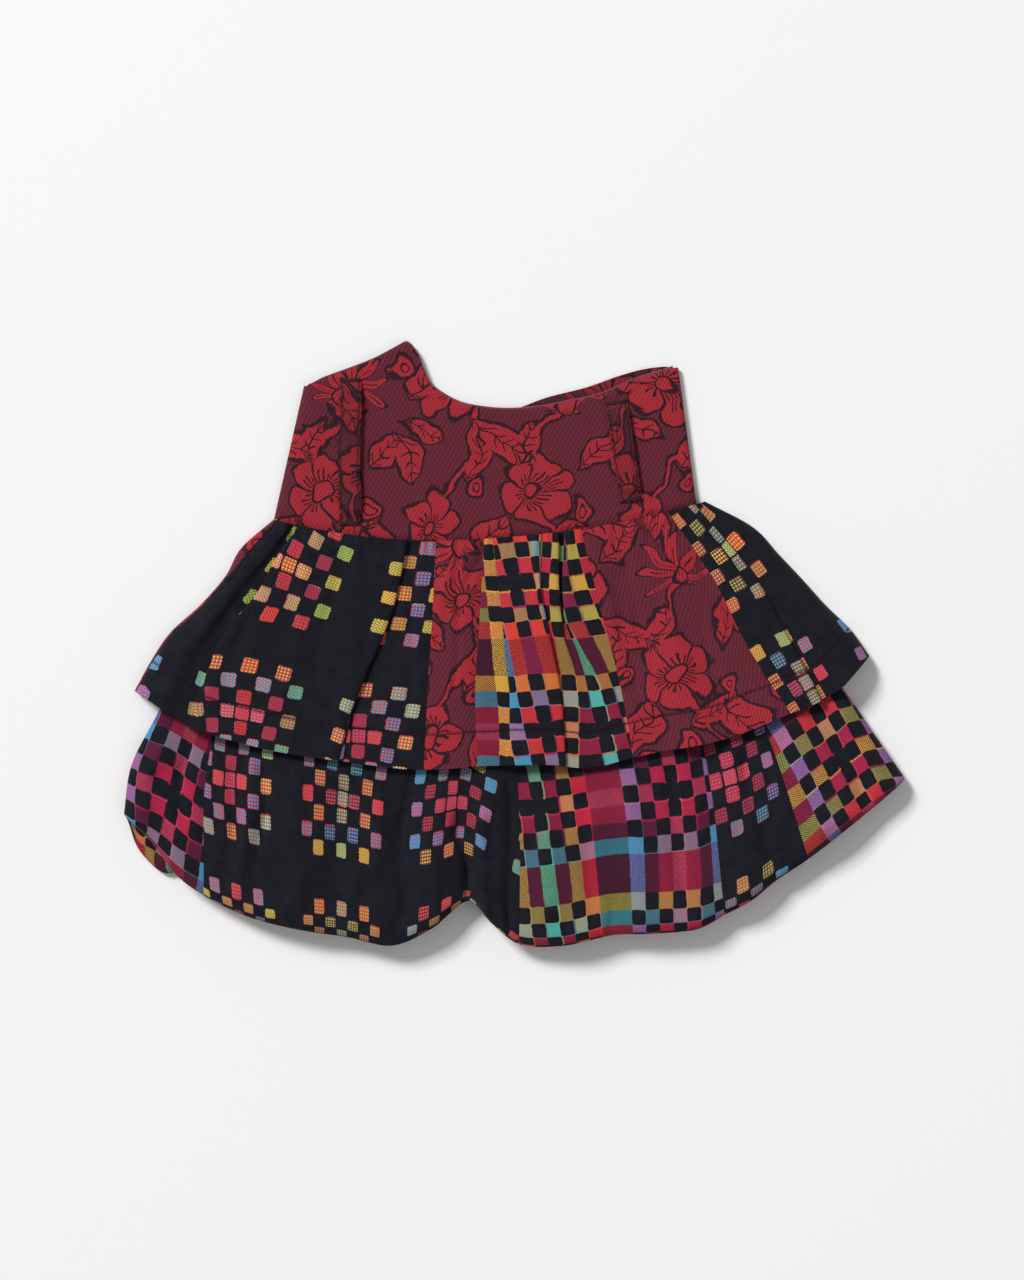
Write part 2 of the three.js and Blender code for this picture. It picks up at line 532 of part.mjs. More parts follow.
// Assembly
const skirt = new THREE.Group();
skirt.add(
  bandOuter('band_front', bandTopFront, 1),
  bandOuter('band_back', bandTopBack, -1),
  bandFacing('band_front_facing', bandTopFront, level.frontFacing, band.facingStandsProud),
  bandFacing('band_back_facing', bandTopBack, level.backFacing, 0),
  ...loops.map(beltLoop),
  panel('peplum_black_left', colour.blackCheck, peplum, 'leftSeam', 'seamFloralLeft'),
  panel('peplum_floral_narrow', colour.jacquard, peplum, 'seamFloralLeft', 'seamPlaidLeft'),
  panel('peplum_plaid_pleat', colour.plaid, peplum, 'seamPlaidLeft', 'seamPlaidRight'),
  panel('peplum_floral_wide', colour.jacquard, peplum, 'seamPlaidRight', 'seamBlackRight'),
  panel('peplum_black_right', colour.blackCheck, peplum, 'seamBlackRight', 'rightSide'),
  panel('peplum_plaid_back', colour.plaid, peplum, 'rightSide', 'backSeam'),
  panel('peplum_floral_back', colour.jacquard, peplum, 'backSeam', 'leftSeam'),
  panel('balloon_plaid_left', colour.plaid, balloon, 'backSeamLeft', 'seamBlackLeft'),
  panel('balloon_black_left', colour.blackCheck, balloon, 'seamBlackLeft', 'seamPlaidCentre'),
  panel('balloon_plaid_centre', colour.plaid, balloon, 'seamPlaidCentre', 'seamBlackRight'),
  panel('balloon_black_right', colour.blackCheck, balloon, 'seamBlackRight', 'seamPlaidRight'),
  panel('balloon_plaid_right', colour.plaid, balloon, 'seamPlaidRight', 'backSeamRight'),
  panel('balloon_black_back', colour.blackCheck, balloon, 'backSeamRight', 'backSeamLeft'),
);

export default skirt;
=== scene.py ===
# Looks of the patchwork balloon skirt, laid flat and seen from straight above.
# Tables and curves are in millimetres, as the cloth was cut; the meshes are in metres.
import math

import bpy
import numpy as np
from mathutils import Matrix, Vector


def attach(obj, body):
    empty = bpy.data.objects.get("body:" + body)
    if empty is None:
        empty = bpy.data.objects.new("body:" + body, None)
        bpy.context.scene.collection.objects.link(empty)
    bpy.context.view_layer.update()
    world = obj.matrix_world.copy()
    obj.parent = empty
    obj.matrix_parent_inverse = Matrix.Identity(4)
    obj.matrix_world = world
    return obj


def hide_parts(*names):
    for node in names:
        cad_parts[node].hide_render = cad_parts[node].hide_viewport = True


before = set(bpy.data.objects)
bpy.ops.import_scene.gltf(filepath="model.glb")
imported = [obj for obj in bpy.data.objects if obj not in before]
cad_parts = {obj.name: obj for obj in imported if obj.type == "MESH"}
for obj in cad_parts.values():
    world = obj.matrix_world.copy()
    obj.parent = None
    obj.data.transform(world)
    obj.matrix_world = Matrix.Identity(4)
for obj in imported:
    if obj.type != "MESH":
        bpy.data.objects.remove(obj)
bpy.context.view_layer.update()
print("frame loaded")

mm = 0.001

cloth = {"wall": 1.5, "facingWall": 1.1, "loopWall": 1.3, "foldTurn": 1.5, "pressedFrom": 3.0, "gap": 0.3}
halfWall = 0.8  # half of the solids' wall, where the side rolls start
level = {"back": 0.8, "backFacing": 2.5, "balloonBack": 2.7, "sideAtWaist": 4.0,
         "balloonFront": 5.2, "frontFacing": 5.6, "front": 7.4}
waistSeam = {"lowX": -70.0, "lowY": 89.0, "riseLeft": 0.00096, "riseRight": 0.0006}


def mix(a, b, t):
    return a + (b - a) * t


def clamp01(t):
    return np.clip(t, 0.0, 1.0)


def ease(t):
    t = clamp01(t)
    return t * t * (3 - 2 * t)


def waistY(x):
    away = x - waistSeam["lowX"]
    rise = np.where(away < 0, waistSeam["riseLeft"], waistSeam["riseRight"])
    return waistSeam["lowY"] + rise * away * away


def along(values, g):  # smooth value at g of a list at equal steps from waist (0) to hem (1)
    last = len(values) - 1
    listed = np.array(values, dtype=float)
    spot = clamp01(np.asarray(g, dtype=float)) * last
    i = np.minimum(last - 1, np.floor(spot)).astype(int)
    t = spot - i
    b, c = listed[i], listed[i + 1]
    a = np.where(i > 0, listed[np.maximum(i - 1, 0)], 2 * b - c)
    d = np.where(i < last - 1, listed[np.minimum(i + 2, last)], 2 * c - b)
    return b + 0.5 * t * (c - a + t * (2 * a - 5 * b + 4 * c - d + t * (3 * (b - c) + d - a)))


def row(name, x, hemY, **more):
    return dict(name=name, x=x, hemY=hemY, **more)


def pleat(name, faces, x, hemY, depth, rise, hemSlope, under=(0, 0)):
    return dict(name=name, faces=faces, x=x, hemY=hemY, depth=depth, rise=rise, hemSlope=hemSlope, under=under)


# Lines of the peplum from waist to hem, left to right; x at equal steps, lift above the lie of the cloth
peplumFront = [
    row("leftSide", [-207, -235, -249, -270.5, -297, -313.5, -327], -41),
    row("leftSeam", [-204.3, -226, -246, -268, -294.5, -311, -325], -42),
    pleat("sidePleat", "left", [-199, -222, -241, -262, -286, -302, -315], -48,
          [3, 6, 0, -4, -5, -6, -7], [4, 4, 3, 1.5, 1, 1, 1], -0.6),
    row("sideCrest", [-193, -213, -237, -256, -278, -292, -302], -56, lift=[4, 5]),
    row("sideValley", [-188.5, -208, -230, -251, -269, -280, -289], -64, lift=[0, 1]),
    pleat("pleatA", "left", [-183, -203, -219, -243, -259, -266, -270], -75,
          [15, 14, 12, 7, 1, -6, -9], [4, 4], -0.35),
    row("blackCrest", [-154, -179, -201, -216], -90, lift=[4, 3]),
    row("blackFlat", [-122, -142, -160, -172], -98, lift=[4, 2.5]),
    pleat("pleatB", "right", [-93, -107, -133, -153], -100, [10, 9, 4, -8], [4, 4, 4, 3], -0.15),
    row("underB", [-78, -84, -94, -103], -107, lift=[0, 1]),
    row("seamFloralLeft", [-67, -70, -74, -77], -108.5, lift=[0, 0.5]),
    row("tuck", [-38, -49, -52, -53], -107.5, lift=[2, 1.5]),
    row("seamPlaidLeft", [-25, -29, -33, -31], -105.5, lift=[0, 0.5]),
    pleat("pleatC", "left", [-16, -8, -3, -1], -104.5, [4, 4, 1, -6], [4, 4, 4, 3], 0.03),
    row("boxCrest", [4, 8, 14, 20], -104, lift=[4, 7.5, 5, 4]),
    pleat("pleatD", "right", [18, 25, 38, 43], -104.5, [-8, 2.5, 7, 9], [0.5, 4.2, 4, 4], 0,
          under=[4, 4, 0.5, 0]),
    pleat("pleatE", "right", [37, 38.5, 53, 57], -107, [5, 4, -8, -8], [4, 4, 0.5, 0.5], 0),
    pleat("pleatF", "left", [46, 46, 69, 75], -105.5, [5, 4, -5, -6], [4, 4, 1, 0.6], 0.04),
    row("seamPlaidRight", [58, 74, 91, 103], -98, lift=[3, 1]),
    row("floralFlat", [83, 102, 117, 131], -92, lift=[1, 2]),
    row("floralRidge", [103, 128, 143, 159], -87.5, lift=[0, 1, 4, 5]),
    pleat("pleatG", "left", [111, 154, 177, 197], -77, [7, -1, -8, -10], [4, 3, 2, 2], 0.35),
    row("seamBlackRight", [133, 172, 201, 238], -60, lift=[3.5, 2]),
    pleat("pleatH", "right", [154, 201, 233, 263], -50, [11, 10, 7, 3], [4.2, 4.2], 0.55),
    row("rightValley", [158.5, 207, 239, 269], -46, lift=[0, 0, 0, 0.4]),
    row("rightCrest", [161, 214, 251, 284], -36, lift=[0, 2, 4, 4.5]),
    row("rightSide", [165.6, 207, 228, 249, 269, 291.5, 307], -11),
]
peplumBack = [
    row("backRight", [146, 203, 243, 276], -37),
    row("backRightMiddle", [110, 155, 190, 215], -65),
    row("backSeam", [30, 36, 40, 44], -99),
    row("backLeftMiddle", [-60, -75, -85, -92], -102),
    row("backLeftOuter", [-130, -165, -190, -208], -87),
    row("backLeft", [-180, -220, -258, -286], -60),
]

# Lines of the balloon, front left to right and back right to left
balloonFront = [
    row("leftSide", [-204, -236, -261, -286.5, -308.5, -329.5, -336], -148),
    row("cornerLeft", [-194, -247, -289, -313], -168, lift=[0, 0, -2.5, -7]),
    row("pouchLeft", [-189, -242, -275, -288], -200, lift=[0, -4]),
    row("seamBlackLeft", [-184, -237, -264, -266], -216, lift=[0, -4]),
    row("billowOne", [-162, -208, -229, -228], -234, lift=[0, 1]),
    row("billowTwo", [-132, -175, -185, -184], -245, lift=[0, 3]),
    row("billowThree", [-98, -130, -142, -141], -252, lift=[0, 1]),
    row("foldLine", [-72, -93, -104, -104], -259, lift=[0, -1.5]),
    row("billowFour", [-52, -66, -73, -70], -244, lift=[0, 1.5]),
    row("notch", [-33, -41, -44, -38], -221, lift=[0, -5]),
    row("rolledHem", [-22, -22, -18, -18], -240, lift=[0, 1]),
    row("seamPlaidCentre", [-12, -5, 5, 5], -258, lift=[0, -2.5]),
    row("centreLeft", [16, 27, 37, 42], -259, lift=[0, 1.5]),
    row("hemPucker", [45, 64, 81, 86], -250, lift=[0, 0]),
    row("centreMiddle", [68, 93, 116, 119], -248.5, lift=[0, 2.5]),
    row("centreRight", [95, 129, 152, 160], -244, lift=[0, 1.5]),
    row("seamBlackRight", [109, 145, 169, 181], -233, lift=[0, -3]),
    row("billowFive", [122, 160, 190, 203], -221, lift=[0, 1]),
    row("rightPucker", [133, 169, 207, 226], -203, lift=[0, -1.5]),
    row("seamPlaidRight", [143, 176, 221, 253], -185, lift=[0, -3]),
    row("rightMiddle", [148, 189, 243, 282], -162, lift=[0, 1]),
    row("cornerRight", [152, 203, 262, 309], -141, lift=[0, 0, -1.5, -5]),
    row("rightSide", [157, 189, 220.5, 251.5, 283.5, 310.5, 338], -117),
]
balloonBack = [
    row("backRight", [140, 188, 240, 288], -150),
    row("backRightMiddle", [110, 150, 192, 214], -205),
    row("backSeamRight", [80, 112, 148, 162], -236),
    row("backMiddleRight", [28, 45, 58, 68], -247),
    row("backMiddle", [-22, -24, -28, -34], -215),
    row("backMiddleLeft", [-70, -95, -108, -114], -251),
    row("backSeamLeft", [-125, -168, -192, -200], -236),
    row("backLeft", [-168, -217, -250, -262], -212),
    row("pouchInner", [-184, -233, -268, -287], -198),
    row("pouchLow", [-189, -240, -280, -302], -198),
    row("pouchTurn", [-194, -247, -291, -315], -188),
    row("pouchSide", [-198, -253, -300, -324.5], -176),
]

tiers = {
    "peplum": {"front": peplumFront, "back": peplumBack, "hemRise": 13.2, "riseShape": 1.3, "sideAtHem": 5.0,
               "frontRoll": lambda g: mix(3, 20, ease((g - 0.33) / 0.5)), "backRoll": lambda g: mix(3, 6, g)},
    "balloon": {"front": balloonFront, "back": balloonBack, "hemRise": 22.0, "riseShape": 1.6, "sideAtHem": 9.0,
                "frontRoll": lambda g: mix(3, 15, g), "backRoll": lambda g: mix(3, 6, g)},
}
tightestTurn = 0.95
climb = {"clearOfHem": 14, "length": 44}
hemTurn = {"plan": 11, "least": 1.1, "backHeight": 3.9, "widens": 25}
returnStrip = {"level": 15.4, "length": 22, "atSide": 3, "widens": 40}
turnStarts, turnEnds = 0.82, 0.94


def plainLine(line):
    topY = waistY(line["x"][0])
    lifts = line.get("lift", [0, 0])
    return lambda g: (along(line["x"], g), mix(topY, line["hemY"], g), along(lifts, g))


def pleatLines(line):  # hidden edge, turn, middle layer twice, turn, edge that shows
    under = 1 if line["faces"] == "left" else -1
    made = []
    for k, height in enumerate([0, 0.25, 0.5, 0.5, 0.75, 1]):

        def acrossAt(g, k=k):
            edge = along(line["x"], g)
            depth = along(line["depth"], g)
            hidden = edge + under * depth
            turn = under * cloth["foldTurn"]
            folded = [hidden, hidden + turn, hidden, edge, edge - turn, edge][k]
            opened = np.where(depth < 0, mix(hidden, edge, k / 5), (hidden + edge) / 2)
            return mix(opened, folded, ease(depth / cloth["pressedFrom"]))

        topY = waistY(acrossAt(0.0))
        hemY = line["hemY"] + line["hemSlope"] * (acrossAt(1.0) - along(line["x"], 1.0))

        def lineAt(g, k=k, height=height, acrossAt=acrossAt, topY=topY, hemY=hemY):
            pressed = ease(along(line["depth"], g) / cloth["pressedFrom"])
            lift = along(line["under"], g) + along(line["rise"], g) * mix(k / 5, height, pressed)
            return acrossAt(g), mix(topY, hemY, g), lift

        made.append(lineAt)
    return made if under > 0 else made[::-1]


def frontHeight(tier, g):
    start = level["front"] if tier is tiers["peplum"] else level["balloonFront"]
    return start + tier["hemRise"] * clamp01(g) ** tier["riseShape"]


def sideHeight(tier, g):
    return mix(level["sideAtWaist"], tier["sideAtHem"], ease(g / 0.9))


def rollWidth(tier, facing, g):
    side = sideHeight(tier, g)
    flatBack = level["back"] if tier is tiers["peplum"] else level["balloonBack"]
    tall = frontHeight(tier, g) - side if facing > 0 else side - flatBack
    return np.minimum((tier["frontRoll"] if facing > 0 else tier["backRoll"])(g), tall * tall / tightestTurn)


def rollLines(tier, facing, side, nextRow, inward):
    hemX = side["x"][-1] + inward * halfWall
    share = 1 / abs(nextRow["x"][-1] - hemX)
    made = []
    for degrees in (30, 60, 90):
        turn = 1 - math.cos(math.radians(degrees))
        topX = side["x"][0] + inward * (halfWall + rollWidth(tier, facing, 0.0) * turn)
        hemY = mix(side["hemY"], nextRow["hemY"], min(1, rollWidth(tier, facing, 1.0) * turn * share))

        def lineAt(g, turn=turn, topY=waistY(topX), hemY=hemY):
            x = along(side["x"], g) + inward * (halfWall + rollWidth(tier, facing, g) * turn)
            return x, mix(topY, hemY, g), along(nextRow.get("lift", [0, 0]), g)

        made.append(lineAt)
    return made


def ringLines(tier):
    left, *rest = tier["front"]
    right = rest.pop()
    lines, at = [], {}

    def add(name, facing, made):
        at[name] = len(lines)
        lines.extend((line, facing) for line in made)

    def sideLine(side, inward):
        return plainLine({**side, "x": [x + inward * halfWall for x in side["x"]]})

    add("leftSide", 0, [sideLine(left, 1)])
    if tier is tiers["balloon"]:
        add("frontRollLeft", 1, rollLines(tier, 1, left, rest[0], 1))
    for line in rest:
        add(line["name"], 1, pleatLines(line) if "faces" in line else [plainLine(line)])
    add("frontRollRight", 1, rollLines(tier, 1, right, rest[-1], -1)[::-1])
    add("rightSide", 0, [sideLine(right, -1)])
    add("backRollRight", -1, rollLines(tier, -1, right, tier["back"][0], -1))
    for line in tier["back"]:
        add(line["name"], -1, [plainLine(line)])
    add("backRollLeft", -1, rollLines(tier, -1, left, tier["back"][-1], 1)[::-1])
    tier["lines"], tier["at"] = lines, at
    tier["leftX"] = lambda g: along(left["x"], g) + halfWall
    tier["rightX"] = lambda g: along(right["x"], g) - halfWall


for tier in tiers.values():
    ringLines(tier)

hemPoints = [(line["x"][-1], line["hemY"]) for line in [peplumFront[0], *peplumBack[::-1], peplumFront[-1]]]


def backHeight(tier, x, y):
    if tier is tiers["peplum"]:
        return np.full_like(x, level["back"])
    past = np.interp(x, [p[0] for p in hemPoints], [p[1] for p in hemPoints]) - climb["clearOfHem"] - y
    return mix(level["balloonBack"], level["back"], ease(past / climb["length"]))


def lieOfCloth(tier, index, g):
    g = np.asarray(g, dtype=float)
    line, facing = tier["lines"][index % len(tier["lines"])]
    x, y, lift = (np.broadcast_to(value, g.shape) for value in line(g))
    fromLeft, fromRight = x - tier["leftX"](g), tier["rightX"](g) - x
    inwards = np.where(fromLeft < fromRight, 1.0, -1.0)
    inset = np.maximum(0, np.minimum(fromLeft, fromRight))
    near = 1 - np.minimum(1, inset / rollWidth(tier, facing, g))
    share = np.zeros_like(g) if facing == 0 else np.sqrt(1 - near * near)
    full = backHeight(tier, x, y) if facing < 0 else frontHeight(tier, g) + lift
    point = np.stack([x, y, mix(sideHeight(tier, g), full, share)], axis=-1)
    inside = np.stack([inwards * np.sqrt(1 - share * share), np.zeros_like(g), -facing * share], axis=-1)
    return point, inside, inset, facing


def turnedLine(index, v):  # a line of the balloon: the lie, the round turn at the hem, the strip inside
    tier = tiers["balloon"]
    one = np.ones_like(v)
    top = lieOfCloth(tier, index, 0 * one)[0]
    hem, _, inset, facing = lieOfCloth(tier, index, one)
    length = np.hypot(hem[:, 0] - top[:, 0], hem[:, 1] - top[:, 1])
    opened = np.minimum(1, inset / hemTurn["widens"])
    nearHem = lieOfCloth(tier, index, 1 - hemTurn["plan"] / length)[0][:, 2]
    front = np.maximum(hemTurn["least"], (nearHem - returnStrip["level"]) / 2)
    back = mix(hemTurn["least"], hemTurn["backHeight"], opened)
    half = front if facing > 0 else back if facing < 0 else hemTurn["least"] * one
    plan = np.minimum(hemTurn["plan"], half * half / tightestTurn)
    reach = length - halfWall
    gTurn = (reach - plan) / length
    start, inside, _, _ = lieOfCloth(tier, index, gTurn)
    turn = clamp01((v - turnStarts) / (turnEnds - turnStarts)) * math.pi
    strip = mix(returnStrip["atSide"], returnStrip["length"], np.minimum(1, inset / returnStrip["widens"]))
    back01 = clamp01((v - turnEnds) / (1 - turnEnds))
    ahead = lieOfCloth(tier, index, gTurn + 0.01)[0] - start
    ahead /= np.linalg.norm(ahead, axis=1, keepdims=True)
    inside = inside - ahead * np.sum(ahead * inside, axis=1, keepdims=True)
    inside /= np.linalg.norm(inside, axis=1, keepdims=True)
    g = (reach - plan + plan * np.sin(turn) - strip * back01) / length
    along01 = lieOfCloth(tier, index, g)[0]
    sinks = np.minimum(0, along01[:, 2] - start[:, 2]) * (1 - opened) * back01
    turned = np.stack([along01[:, 0], along01[:, 1], start[:, 2] + sinks], axis=-1)
    turned += inside * (half * (1 - np.cos(turn)))[:, None]
    flat = lieOfCloth(tier, index, v / turnStarts * gTurn)[0]
    return np.where((v <= turnStarts)[:, None], flat, turned)


def throughFour(a, b, c, d, t):  # between b and c, without overshoot at tight folds
    def step(p, q):
        return np.sqrt(np.linalg.norm(q - p, axis=-1, keepdims=True)) + 1e-4

    k1 = step(a, b)
    k2 = k1 + step(b, c)
    k3 = k2 + step(c, d)
    k = mix(k1, k2, t)

    def blend(p, q, low, high):
        return p + (q - p) * ((k - low) / (high - low))

    ab, bc, cd = blend(a, b, 0, k1), blend(b, c, k1, k2), blend(c, d, k2, k3)
    return blend(blend(ab, bc, 0, k2), blend(bc, cd, k1, k3), k1, k2)


# Steps down the cloth, closer where the balloon's hem turns
stepsDown = {
    "peplum": np.linspace(0, 1, 76),
    "balloon": np.concatenate([np.linspace(0, turnStarts, 104)[:-1], np.linspace(turnStarts, turnEnds, 19)[:-1],
                               np.linspace(turnEnds, 1, 9)]),
}


def lineTable(tierName, v):
    tier = tiers[tierName]
    count = len(tier["lines"])
    make = (lambda i: lieOfCloth(tier, i, v)[0]) if tierName == "peplum" else (lambda i: turnedLine(i, v))
    return np.stack([make(i) for i in range(count)])


tables = {name: lineTable(name, v) for name, v in stepsDown.items()}
print("cloth lines worked out")


def ringColumn(table, k):
    count = len(table)
    base = math.floor(k)
    four = [table[(base + shift) % count] for shift in (-1, 0, 1, 2)]
    return throughFour(*four, k - base)


# Soft creases on the fronts: from, to, half width and height, in millimetres; below 0 is a trough
creases = {
    "peplum": [
        ((-172, 88), (-196, -40), 7, 0.7), ((-150, 80), (-170, -30), 6, -0.6), ((-128, 86), (-150, -70), 8, 0.6),
        ((-112, 70), (-126, -10), 5, -0.5), ((-84, 86), (-92, -60), 4, -0.7), ((-56, 84), (-62, 20), 5, 0.6),
        ((-46, 86), (-52, -40), 3, -0.8), ((70, 86), (96, -30), 7, 0.7), ((88, 88), (112, 10), 5, -0.6),
        ((120, 60), (150, -20), 6, 0.5), ((160, 70), (190, 10), 5, -0.5), ((180, 70), (222, 4), 6, 0.7),
        ((-235, 20), (-262, -40), 6, 0.7), ((-216, 50), (-238, 0), 5, -0.5),
        ((109, 106), (165, 50), 3.5, -0.7), ((104, 96), (150, 44), 6, 0.5), ((160, 104), (250, -30), 5, -0.4),
        ((-30, 80), (-44, 30), 4, -0.5), ((90, 60), (104, -40), 6, -0.4),
    ],
    "balloon": [
        ((-240, -110), (-246, -200), 7, -1.2), ((-226, -104), (-233, -215), 6, 1.4),
        ((-214, -110), (-218, -190), 4, -1.1), ((-190, -120), (-186, -220), 12, 1.2),
        ((-150, -130), (-152, -238), 14, -1.2), ((-118, -120), (-112, -240), 10, 1.2),
        ((-92, -120), (-96, -236), 7, -1.3), ((-60, -130), (-70, -220), 12, 1.1),
        ((-46, -150), (-40, -214), 6, -1.8), ((-30, -150), (-24, -226), 6, 1.6),
        ((-6, -120), (-2, -236), 5, -1.2), ((24, -120), (30, -236), 12, 1.1),
        ((58, -130), (72, -236), 9, -1.0), ((96, -125), (110, -232), 12, 1.2),
        ((134, -112), (148, -230), 8, -1.1), ((176, -110), (192, -200), 7, 1.2),
        ((198, -100), (218, -190), 6, -1.2), ((236, -96), (262, -158), 9, 1.2),
        ((262, -70), (300, -130), 8, -1.2), ((-306, -90), (-318, -140), 8, 1.0),
        ((-280, -90), (-290, -150), 7, -1.0), ((-38, -216), (-48, -160), 5, -0.9),
        ((-30, -222), (-12, -246), 5, 0.7), ((-20, -212), (-1, -246), 3, -0.8),
        ((86, -246), (82, -222), 4, -0.8), ((226, -200), (214, -176), 4, -0.8),
    ],
}
gathers = {"peplum": 0.8, "balloon": 0.0, "length": 30, "pitch": 9.0}  # heights, and how they run from the waist
ripple = {"peplum": 0.35, "balloon": 0.9}  # slow unevenness everywhere
creaseScale = {"peplum": 3.1, "balloon": 3.3}
creaseNarrows = 0.82


def creaseHeight(tierName, x, y):
    total = np.zeros_like(x)
    for (x0, y0), (x1, y1), width, height in creases[tierName]:
        dx, dy = x1 - x0, y1 - y0
        t = clamp01(((x - x0) * dx + (y - y0) * dy) / (dx * dx + dy * dy))
        bend = 2.5 * np.sin(t * 5 + x0)
        away = np.hypot(x - x0 - dx * t - bend, y - y0 - dy * t)
        raised = np.exp(-((away / (creaseNarrows * width)) ** 2)) * (0.75 + 0.25 * np.sin(9 * t + y0))
        total += creaseScale[tierName] * height * raised
    total += ripple[tierName] * np.sin(x / 13 + 0.8 * np.sin(y / 21)) * np.sin(y / 17 + 1.3 * np.sin(x / 29))
    near = ease(1 - (waistY(x) - y) / gathers["length"])
    total += gathers[tierName] * near * np.sin(x * 2 * math.pi / gathers["pitch"] + np.sin(x / 11))
    return total


def flatten(points, reference):
    # Unrolls the grid into cut coordinates in mm: u across, v down, from the reference column
    rows, columns, _ = points.shape
    downStep = np.diff(points, axis=0)
    downLength = np.linalg.norm(downStep, axis=2)
    down = np.empty_like(points)
    down[1:-1] = points[2:] - points[:-2]
    down[0], down[-1] = downStep[0], downStep[-1]
    down /= np.linalg.norm(down, axis=2, keepdims=True)
    step = np.diff(points, axis=1)
    length = np.linalg.norm(step, axis=2)
    middle = down[:, 1:] + down[:, :-1]
    middle /= np.linalg.norm(middle, axis=2, keepdims=True)
    cosine = np.clip(np.sum(step * middle, axis=2) / np.maximum(length, 1e-9), -0.999, 0.999)
    angle = np.arccos(cosine)
    spread = length * np.sin(angle)
    total = downLength.sum(axis=0)
    tilt = (spread[-rows // 5] - spread[0]) / (0.8 * (total[1:] + total[:-1]) / 2)
    u = np.zeros((rows, columns))
    v = np.zeros((rows, columns))
    v[:, reference] = np.concatenate([[0], np.cumsum(downLength[:, reference])])
    phi = 0.0
    for c in range(reference, columns - 1):
        turned = angle[:, c] + phi + tilt[c] / 2
        u[:, c + 1] = u[:, c] + length[:, c] * np.sin(turned)
        v[:, c + 1] = v[:, c] + length[:, c] * np.cos(turned)
        phi += tilt[c]
    phi = 0.0
    for c in range(reference - 1, -1, -1):
        turned = angle[:, c] + phi - tilt[c] / 2
        u[:, c] = u[:, c + 1] - length[:, c] * np.sin(turned)
        v[:, c] = v[:, c + 1] - length[:, c] * np.cos(turned)
        phi -= tilt[c]
    return u, v, np.concatenate([np.cumsum(downLength[::-1], axis=0)[::-1], np.zeros((1, columns))])


def sheetMesh(name, points, cut, edge, wall, material):
    # A grid is added flat, laid onto the cloth's points and given its thickness
    rows, columns, _ = points.shape
    bpy.ops.object.select_all(action="DESELECT")
    bpy.ops.mesh.primitive_grid_add(x_subdivisions=columns - 1, y_subdivisions=rows - 1, size=1)
    piece = bpy.context.object
    piece.name = name
    mesh = piece.data
    mesh.name = name
    laid = points[::-1].reshape(-1, 3) * mm  # the grid counts up from the hem
    mesh.vertices.foreach_set("co", laid.astype(np.float32).ravel())
    corner = np.empty(len(mesh.loops), dtype=np.int64)
    mesh.loops.foreach_get("vertex_index", corner)
    mesh.uv_layers[0].name = "cut"
    cutLayer = mesh.uv_layers["cut"]
    cutLayer.data.foreach_set("uv", cut[::-1].reshape(-1, 2)[corner].astype(np.float32).ravel())
    edgeLayer = mesh.uv_layers.new(name="edge")
    edgeLayer.data.foreach_set("uv", edge[::-1].reshape(-1, 2)[corner].astype(np.float32).ravel())
    mesh.update()
    thick = piece.modifiers.new("thickness", "SOLIDIFY")
    thick.thickness = wall * mm
    thick.offset = 0
    bpy.ops.object.modifier_apply(modifier="thickness")
    bpy.ops.object.shade_smooth_by_angle(angle=math.radians(50))
    mesh.materials.clear()
    mesh.materials.append(material)
    return piece


def settle(points):  # nothing goes through the table
    points[:, :, 2] = np.maximum(points[:, :, 2], cloth["wall"] / 2 + 0.04)
    return points


seamDip = {"depth": 1.0, "width": 2.6}
creased = {"from": 3.0, "over": 4.0}  # height above the table at which the creases begin, and fade in


def panelGrid(tierName, first, last, spacing=2.9):
    tier = tiers[tierName]
    start = tier["at"][first]
    end = tier["at"][last] if tier["at"][last] > start else tier["at"][last] + len(tier["lines"])
    middle = tables[tierName]
    columns = []
    for k in range(start, end):
        here, there = middle[k % len(middle)], middle[(k + 1) % len(middle)]
        stretch = np.linalg.norm(there - here, axis=1).max()
        parts = max(4, round(stretch / spacing))
        columns += [k + part / parts for part in range(parts)]
    columns.append(end)
    pull = cloth["gap"] / 2
    widthAt = np.linalg.norm(middle[(start + 1) % len(middle)] - middle[start % len(middle)], axis=1).mean()
    columns[0] = start + pull / widthAt
    widthAt = np.linalg.norm(middle[end % len(middle)] - middle[(end - 1) % len(middle)], axis=1).mean()
    columns[-1] = end - pull / widthAt
    points = np.stack([ringColumn(middle, k) for k in columns], axis=1)
    _, facings = zip(*tier["lines"])
    faces = np.array([facings[round(k) % len(facings)] for k in columns])
    upper = (faces > -1)[None, :] * clamp01((points[:, :, 2] - creased["from"]) / creased["over"])
    points[:, :, 2] += upper * creaseHeight(tierName, points[:, :, 0], points[:, :, 1])
    for seam in (points[:, :1].copy(), points[:, -1:].copy()):  # the cloth sinks into its seams
        away = np.linalg.norm(points - seam, axis=2)
        points[:, :, 2] -= upper * seamDip["depth"] * np.exp(-((away / seamDip["width"]) ** 2))
    return points, faces, np.array(columns)


